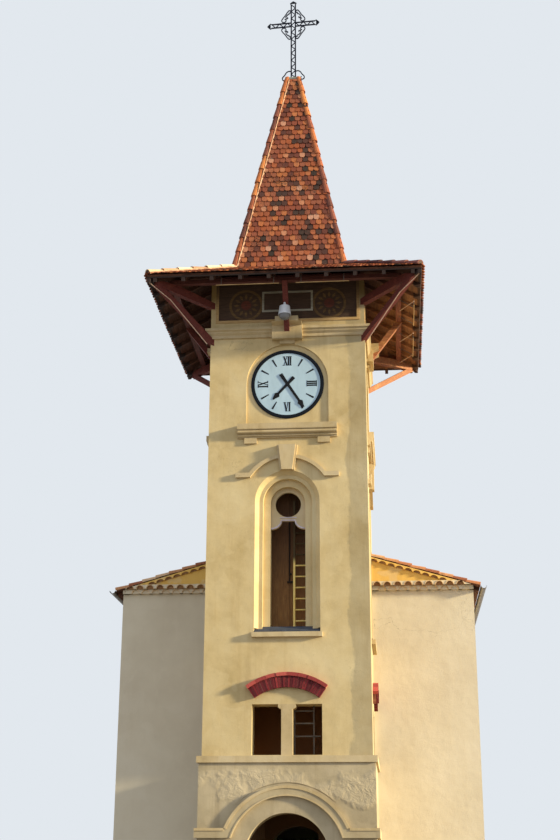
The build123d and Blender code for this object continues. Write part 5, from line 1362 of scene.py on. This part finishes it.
# %% [markdown]
# ## Génoise
# Under the roof's edge the mason built out two rows of half-round tiles, bedded hollow side down. The
# lower row's hollows are filled and limewashed over; the upper row's are open, and each tile end keeps
# its pale rim. Up the rakes the same tiles make a scalloped band. Single tiles in mortar would need
# hundreds of cuts, so a strip with a scalloped edge stands for each row, and rims are laid round its
# hollows.

# %% A scalloped strip
GEN_LOW, GEN_ROW, GEN_STEP, GEN_PITCH, GEN_R = 8.04, 0.10, 0.09, 0.245, 0.084
RIM_THICK, RIM_PROUD, RIM_LAP, RIM_SWAY, RIM_TILT = 0.016, 0.012, 0.001, 0.003, 0.01
FILLING_INSET, HOLLOW_INSET, PANEL_INSET, REAR_SUNK = 0.022, 0.04, 0.06, 0.014
RAKE_PITCH, RAKE_HALF, RAKE_RISE, RAKE_BACK, RAKE_INSET = 0.211, 0.088, 0.055, 0.004, 0.035


def scalloped(low_x, high_x, tall, pitch, half, rise, first, high):
    """A strip whose lower edge is a row of round hollows, the first one centred at `first`."""
    outline, middle = [(low_x, 0.0)], first
    while middle + half < high_x:
        if middle - half > low_x:
            outline += [(middle - half * math.cos(a), rise * math.sin(a)) for a in
                        (math.pi * k / 8 for k in range(9))]
        middle += pitch
    return prism(outline + [(high_x, 0.0), (high_x, tall), (low_x, tall)], -SUNK, high, "scalloped")


def rake_band(low_x, high_x, side):
    """The scalloped band up one rake, cut off above the two level rows."""
    low, high, tall = low_x / nave_cos, high_x / nave_cos, SLAB_DEEP - BED_DEEP
    rake = scalloped(low, high, tall, RAKE_PITCH, RAKE_HALF, RAKE_RISE, low + RAKE_PITCH / 2, 2 * GEN_STEP)
    backing = box((low, RAKE_BACK, -SUNK), (high, tall, 2 * GEN_STEP - RAKE_INSET))
    # The backing's darker mortar is painted shade in the scallops.
    band = joined([coated(rake, nave_plaster), coated(backing, shaded_hollow_mortar)])
    if side < 0:
        placed(band, Matrix.Scale(-1, 4, (1, 0, 0)))
        band.flip_normals()
    placed(band, shift(0, NAVE_RIDGE_Z - GEN_LOW, 0) @ spin(-side * NAVE_PITCH) @ shift(0, -SLAB_DEEP, 0))
    return trimmed(band, (0, 2 * GEN_ROW, 0), (0, -1, 0))


# %% One side of a gable
def gable(low_x, high_x, side):
    """Both rows and the rake band on one side of a gable, drawn flat: X across, Y up, Z out."""
    span, reach = (low_x, high_x) if side > 0 else (-high_x, -low_x), high_x - low_x
    first = span[0] + (GEN_PITCH / 2 if side > 0 else reach % GEN_PITCH)
    count = int(reach / GEN_PITCH)
    lower = scalloped(*span, GEN_ROW, GEN_PITCH, GEN_R, GEN_R, first + GEN_PITCH / 2, GEN_STEP)
    upper = placed(scalloped(*span, GEN_ROW, GEN_PITCH, GEN_R, GEN_R, first, 2 * GEN_STEP),
                   shift(0, GEN_ROW, 0))
    filling, hollow, panel = (box((span[0], low, -SUNK), (span[1], high, out)) for low, high, out in (
        (0.0, GEN_ROW, GEN_STEP - FILLING_INSET), (GEN_ROW, 2 * GEN_ROW, 2 * GEN_STEP - HOLLOW_INSET),
        (2 * GEN_ROW, NAVE_RIDGE_Z - GEN_LOW, 2 * GEN_STEP - PANEL_INSET)))
    rims = []
    for row in (0, 1):
        rim = sector(GEN_R - RIM_LAP, GEN_R - RIM_LAP + RIM_THICK, 90, 8, row * GEN_STEP,
                     (row + 1) * GEN_STEP + RIM_PROUD)
        rim_row = lay(rim, rim_clay, count - 1 + row, 1, GEN_PITCH, 1.0, 0, RIM_SWAY, RIM_TILT, 81)
        rims.append(placed(rim_row, shift(first + (count - 1) / 2 * GEN_PITCH, row * GEN_ROW, 0)))
    meshes = [coated(mesh, nave_plaster) for mesh in (lower, filling, panel, upper)]
    # The open hollows' darker mortar is partly painted shade.
    meshes += [coated(hollow, shaded_hollow_mortar), *rims, rake_band(low_x, high_x, side)]
    under_roof = (0, nave_z(0, BED_DEEP) - GEN_LOW, 0)
    slope = Vector((side * math.sin(math.radians(NAVE_PITCH)), nave_cos, 0))
    return [trimmed(mesh, under_roof, slope) for mesh in meshes]


# %% Genoise
rows = []
for side in (1, -1):
    for low_x, turn, out in ((WALL_OUT, FRONT, -NAVE_FRONT_Y), (0.0, REAR, NAVE_REAR_Y - REAR_SUNK)):
        rows += [placed(mesh, face(turn, out, GEN_LOW)) for mesh in gable(low_x, NAVE_HALF, side)]
show("genoise_rows", joined(rows), ("genoise",))

# %% [markdown]
# ## Wrought iron cross
# Each limb is two flat bars with a zigzag between them, closed by an open arrow head. The smith bent
# strips of iron to curves for the scrolls. A curve with a bevel would make them round, so one helper
# draws every iron as a flat strap of even width along a smoothed line.

# %% Straps of iron
CURVE_STEPS, IRON_HALF = 6, 0.011


def smooth(points):
    """Points on a soft curve through the given ones."""
    ends = [points[0], *points, points[-1]]
    curve = []
    for a, b, c, d in zip(ends, ends[1:], ends[2:], ends[3:]):
        for k in range(CURVE_STEPS):
            t = k / CURVE_STEPS
            curve.append(tuple(0.5 * (2 * q + (r - p) * t + (2 * p - 5 * q + 4 * r - u) * t ** 2
                                      + (3 * q - p - 3 * r + u) * t ** 3) for p, q, r, u in zip(a, b, c, d)))
    return curve + [points[-1]]


def strap(points, width, low=-IRON_HALF, high=IRON_HALF):
    """A flat iron of even width along a line of points."""
    left, right = [], []
    for k, point in enumerate(points):
        before, after = points[max(k - 1, 0)], points[min(k + 1, len(points) - 1)]
        along = Vector((after[0] - before[0], after[1] - before[1])).normalized() * width / 2
        left.append((point[0] - along.y, point[1] + along.x))
        right.append((point[0] + along.y, point[1] - along.x))
    return prism(right + left[::-1], low, high, "strap")


# %% A limb of the cross
LIMB_HALF, BAR_WIDE, LACE_WIDE, SCROLL_WIDE = 0.056, 0.034, 0.022, 0.026
HEAD_HALF, HEAD_BACK, HEAD_SHOULDER, TIP_BACK, TIP_HALF = 0.082, 0.01, 0.035, 0.014, 0.004
HEAD_THIN, LACE_THIN, SCROLL_THIN = 0.001, 0.002, 0.003


def limb(start, end, tip):
    """One limb lying along X: two bars, the zigzag between them and the open arrow head."""
    upper = [(end - HEAD_BACK, LIMB_HALF), (end + HEAD_SHOULDER, HEAD_HALF), (tip - TIP_BACK, TIP_HALF)]
    irons = [strap(((start, side * LIMB_HALF), (end, side * LIMB_HALF)), BAR_WIDE) for side in (-1, 1)]
    irons.append(strap(upper + [(x, -y) for x, y in reversed(upper)], LACE_WIDE, HEAD_THIN - IRON_HALF))
    bays = round((end - start) / (2 * LIMB_HALF))
    step = (end - start) / bays
    for k in range(bays):
        lean = LIMB_HALF * (-1) ** k
        irons.append(strap(((start + k * step, lean), (start + (k + 1) * step, -lean)), LACE_WIDE,
                           LACE_THIN - IRON_HALF, IRON_HALF - LACE_THIN))
    return irons


# %% Cross
CROSS_FOOT_Z, CROSS_ARM_Z, CROSS_TOP_Z, CROSS_TURN = 21.60, 23.380, 24.126, -4
ARM_END, ARM_TIP, POST_END, FOOT_CLEAR = 0.590, 0.714, 0.640, 0.03
QUARTER_SCROLL = ((0.125, 0.385), (0.090, 0.375), (0.072, 0.41), (0.085, 0.45), (0.125, 0.45), (0.175, 0.385),
                  (0.225, 0.30), (0.29, 0.215), (0.318, 0.155), (0.295, 0.105), (0.245, 0.09), (0.20, 0.13),
                  (0.205, 0.18), (0.24, 0.185))
INNER_SCROLL = ((0.105, 0.34), (0.155, 0.325), (0.20, 0.26), (0.19, 0.205), (0.15, 0.215), (0.16, 0.25))
FOOT_SCROLL = ((0.064, 0.27), (0.12, 0.285), (0.185, 0.25), (0.235, 0.17), (0.29, 0.10), (0.285, 0.03),
               (0.23, 0.01), (0.195, 0.05), (0.215, 0.10))
cross_foot = CROSS_FOOT_Z - CROSS_ARM_Z


def scroll(points):
    return strap(smooth(points), SCROLL_WIDE, SCROLL_THIN - IRON_HALF)


irons = [placed(mesh, spin(90)) for mesh in limb(cross_foot, POST_END, CROSS_TOP_Z - CROSS_ARM_Z)]
for turn in (0, 180):
    irons += [placed(mesh, spin(turn)) for mesh in limb(LIMB_HALF, ARM_END, ARM_TIP)]
for across in (-1, 1):
    irons.append(scroll([(across * x, cross_foot + y + FOOT_CLEAR) for x, y in FOOT_SCROLL]))
    for up in (-1, 1):
        for curl in (QUARTER_SCROLL, INNER_SCROLL):
            irons.append(scroll([(across * x, up * y) for x, y in curl]))
cross_irons = placed(joined(irons), face(CROSS_TURN, 0, CROSS_ARM_Z))
show("cross_irons", coated(cross_irons, black_iron), ("cross",))

# %% [markdown]
# ## Niche splays
# The edges of the tall niches are cut back at a slant, so the light slides round into them. A bevel on
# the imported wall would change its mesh, so a thin three-sided moulding is swept round the opening.

# %% Niche splays
NICHE_HALF, NICHE_LOW, NICHE_SPRING, NICHE_DEEP, SPLAY_WIDE = 0.722, 6.698, 9.525, 0.10, 0.092
SPLAY_SUNK, SPLAY_BACK = 0.003, NICHE_DEEP + 0.004


def swept(path, section):
    """A closed moulding: a section (inward, out) carried along a path of (point, inward direction)."""
    points = [(x + dx * inward, y + dy * inward, out) for (x, y), (dx, dy) in path for inward, out in section]
    count, rows = len(section), len(path)
    faces = [tuple(range(count)), tuple(range((rows - 1) * count, rows * count))]
    for row in range(rows - 1):
        faces += [(row * count + k, row * count + (k + 1) % count, (row + 1) * count + (k + 1) % count,
                   (row + 1) * count + k) for k in range(count)]
    return mesh_of("swept", points, faces)


niche_path = [((-NICHE_HALF, NICHE_LOW), (1, 0))]
niche_path += [((-NICHE_HALF * math.cos(a), NICHE_SPRING + NICHE_HALF * math.sin(a)),
                (math.cos(a), -math.sin(a))) for a in (math.pi * k / 24 for k in range(25))]
niche_path.append(((NICHE_HALF, NICHE_LOW), (-1, 0)))
splay = ((-SPLAY_SUNK, -SPLAY_SUNK), (-SPLAY_SUNK, -SPLAY_BACK), (SPLAY_WIDE, -SPLAY_BACK))
splays = [placed(coated(swept(niche_path, splay), tower_plaster), face(turn, WALL_OUT, 0))
          for turn in DRESSED_SIDES]
show("niche_splays", joined(splays))

# %% [markdown]
# ## Casement
# Behind the right half of the front's twin window stands one dark window frame: two stiles and the
# rails between them. Any glass in it is lost in the shade, so five plain bars are all that is made.

# %% Casement
CASEMENT_Y, CASEMENT_DEEP, CASEMENT_LOW, CASEMENT_HIGH = -1.45, 0.03, 3.92, 5.10
CASEMENT_BARS = (  # lowest and highest X, lowest and highest Z
    (0.125, 0.155, CASEMENT_LOW, CASEMENT_HIGH), (0.535, 0.565, CASEMENT_LOW, CASEMENT_HIGH),
    (0.155, 0.535, 4.945, 4.975), (0.155, 0.535, 4.685, 4.715), (0.155, 0.70, 4.415, 4.445))
casement = [placed(box((low_x, low_z, 0), (high_x, high_z, CASEMENT_DEEP)), face(FRONT, -CASEMENT_Y, 0))
            for low_x, high_x, low_z, high_z in CASEMENT_BARS]
show("casement", coated(joined(casement), casement_wood))

# %% [markdown]
# ## Tube lamps
# Thin pale tubes hang on wire hangers along the front and right edges of the eave, and slanting stays
# run back from the right edge. Curves with a bevel could draw them, but each is a straight round bar
# between two points, which is all that `rod` needs to know.

# %% Tube lamps
ROD_SIDES = 8
TUBE_R, HANGER_R, STAY_R, TUBE_Z, HANGER_TOP_Z, TUBE_OUT = 0.011, 0.008, 0.009, 14.33, 14.52, 2.96
HANGER_IN, HANGER_LEAN, HANGER_BACK = 0.12, 0.05, 0.35
TUBES = ((-1.54, -0.10, FRONT), (0.28, 1.49, FRONT), (-1.50, -0.26, RIGHT), (0.55, 1.76, RIGHT))
STAY_YS, STAY_IN, STAY_BACK = (-1.72, 0.20, 1.62), 0.33, 0.54


def rod(start, end, radius, finish):
    """A round bar between two points."""
    start, end = Vector(start), Vector(end)
    turn = (end - start).to_track_quat("Z", "Y").to_matrix().to_4x4()
    bar = prism(circle(radius, ROD_SIDES), 0.0, (end - start).length, "rod")
    return coated(placed(bar, Matrix.Translation(start) @ turn), finish)


lamps = []
for low, high, turn in TUBES:
    pieces = [rod((low, -TUBE_OUT, TUBE_Z), (high, -TUBE_OUT, TUBE_Z), TUBE_R, fillet_cream)]
    for x in (low + HANGER_IN, high - HANGER_IN):
        foot = (x, -TUBE_OUT, TUBE_Z)
        pieces.append(rod(foot, (x, -TUBE_OUT, HANGER_TOP_Z), HANGER_R, zinc))
        pieces.append(rod(foot, (x - HANGER_LEAN, HANGER_BACK - TUBE_OUT, HANGER_TOP_Z), HANGER_R, zinc))
    lamps += [placed(piece, spin(turn)) for piece in pieces]
for y in STAY_YS:
    inner_end = (TUBE_OUT - STAY_IN, y + STAY_BACK, TUBE_Z)
    lamps.append(rod((TUBE_OUT, y, TUBE_Z), inner_end, STAY_R, cable_sheath))
show("tube_lamps", joined(lamps))

# %% [markdown]
# ## Cables on the struts
# A thin pale cable is stapled along the front edge of each front corner strut. It follows the timber
# so closely that it never hangs, so two straight bars on each strut stand for it.

# %% Cables on the struts
CABLE_R, CABLE_LINE = 0.010, ((3.07, -3.05, 14.415), (2.62, -2.70, 14.12), (1.87, -1.89, 13.33))
cables = []
for across in (-1, 1):
    line = [(across * x, y, z) for x, y, z in CABLE_LINE]
    cables += [rod(start, end, CABLE_R, cable_sheath) for start, end in zip(line, line[1:])]
show("strut_cables", joined(cables))

# %% [markdown]
# ## Screen bolt
# A long dark bolt stands in front of the belfry's boards, with a foot and a short handle. Nothing
# shows that it still moves, so it is no joint, and three fixed bars stand for it.

# %% Screen bolt
BOLT_OUT, BOLT_X, BOLT_LOW, BOLT_HIGH, BOLT_R = 1.068, -0.006, 7.84, 9.30, 0.017
FOOT_Z, FOOT_R, HANDLE_Z, HANDLE_R, HANDLE_PROUD = 7.85, 0.024, 8.03, 0.022, 0.01
bolt = [rod((BOLT_X + low_x, -BOLT_OUT - proud, low_z), (BOLT_X + high_x, -BOLT_OUT - proud, high_z),
            radius, bolt_iron) for low_x, high_x, low_z, high_z, proud, radius in (
    (0.0, 0.0, BOLT_LOW, BOLT_HIGH, 0.0, BOLT_R), (-0.05, 0.12, FOOT_Z, FOOT_Z, 0.0, FOOT_R),
    (-0.004, 0.05, HANDLE_Z, HANDLE_Z, HANDLE_PROUD, HANDLE_R))]
show("screen_bolt", joined(bolt))

# %% [markdown]
# ## Tracery edges
# The niches' pierced heads look pale round their shoulders and over the neck, where sky light falls
# on the undersides of the cuts. This is painted light: colour alone would bleed over the corner, so
# narrow pale bands lie on the face, just proud of it.

# %% Tracery edges
TRACERY_OUT, NECK_Z, NECK_HALF, SHOULDER_X, SHOULDER_TALL, EDGE = 1.50, 9.148, 0.146, 0.372, 0.191, 0.016
EDGE_PROUD, NECK_BANDS = 0.014, ((0.16, EDGE, 2 * EDGE), (0.19, 0.075, 0.02))  # half length, up, width
shoulder = [(SHOULDER_X - (SHOULDER_X - NECK_HALF + EDGE) * math.cos(a),
             NECK_Z - (SHOULDER_TALL - EDGE) * math.sin(a)) for a in (math.pi / 2 * k / 8 for k in range(9))]
edges = []
for turn in DRESSED_SIDES:
    drawn = [strap([(side * (x + 2 * EDGE), z) for x, z in shoulder], 2 * EDGE, 0.0, EDGE_PROUD)
             for side in (-1, 1)]
    drawn += [strap(((-half, NECK_Z + up), (half, NECK_Z + up)), wide, 0.0, EDGE_PROUD)
              for half, up, wide in NECK_BANDS]
    edges += [placed(mesh, face(turn, TRACERY_OUT, 0)) for mesh in drawn]
show("tracery_edges", coated(joined(edges), sky_lit_trim))

# %% [markdown]
# ## Frieze
# The boards under the eave carry a cream frame, a grey panel in the middle and a painted round on
# each side of it. The real painting is dark and partly hidden, so it isn't copied: a ring, a disc and
# twelve petals in like colours stand for it, each a very thin plate on the boards.

# %% Frieze
FRIEZE_LOW, FRIEZE_HIGH, FRIEZE_HALF, FRIEZE_OUT, FRIEZE_TOP = 13.93, 14.875, 1.63, 1.78, 0.05
FILLET, FILLET_LAP, FILLET_OUT, PANEL_OUT, PANEL_BAND = 0.055, 0.01, 0.018, 0.012, 0.05
PANEL_HALF, PANEL_LOW, PANEL_HIGH, COAT = 0.60, 14.14, 14.665, 0.004
ROUND_X, ROUND_Z, ROUND_RING, ROUND_DISC, PETALS = 0.98, 14.33, (0.34, 0.40), (0.02, 0.12), 12
PETAL = ((0, 0.15), (0.035, 0.22), (0, 0.30), (-0.035, 0.22))


def frame_of(low, high, width, depth, out, finish):
    """A flat frame of four mitred strips around a rectangle, lying `out` from the face."""
    (x0, y0), (x1, y1) = low, high
    inner = ((x0 + width, y0 + width), (x1 - width, y0 + width), (x1 - width, y1 - width),
             (x0 + width, y1 - width))
    outer = ((x0, y0), (x1, y0), (x1, y1), (x0, y1))
    strips = [prism((outer[k - 1], outer[k], inner[k], inner[k - 1]), 0.0, depth) for k in (1, 2, 3, 0)]
    return [placed(coated(strip, finish), shift(0, 0, out)) for strip in strips]


frieze = []
for turn in SIDES:
    drawn = frame_of((-FRIEZE_HALF - FILLET, FRIEZE_LOW - FILLET),
                     (FRIEZE_HALF + FILLET, FRIEZE_HIGH + FRIEZE_TOP),
                     FILLET + FILLET_LAP, FILLET_OUT, FILLET_OUT, fillet_cream)
    drawn += frame_of((-PANEL_HALF, PANEL_LOW), (PANEL_HALF, PANEL_HIGH),
                      PANEL_BAND, COAT, PANEL_OUT, panel_grey)
    for side in (-1, 1):
        drawn += [placed(mesh, shift(side * ROUND_X, ROUND_Z, 0)) for mesh in (
            coated(sector(*ROUND_RING, 180, 32, 0.0, COAT), frieze_ochre),
            coated(sector(*ROUND_DISC, 180, 20, 0.0, COAT), frieze_red),
            fan(prism(PETAL, 0.0, COAT, "petal"), frieze_ochre, PETALS, 0, 360 / PETALS))]
    frieze += [placed(mesh, face(turn, FRIEZE_OUT, 0)) for mesh in drawn]
show("frieze_painting", joined(frieze))
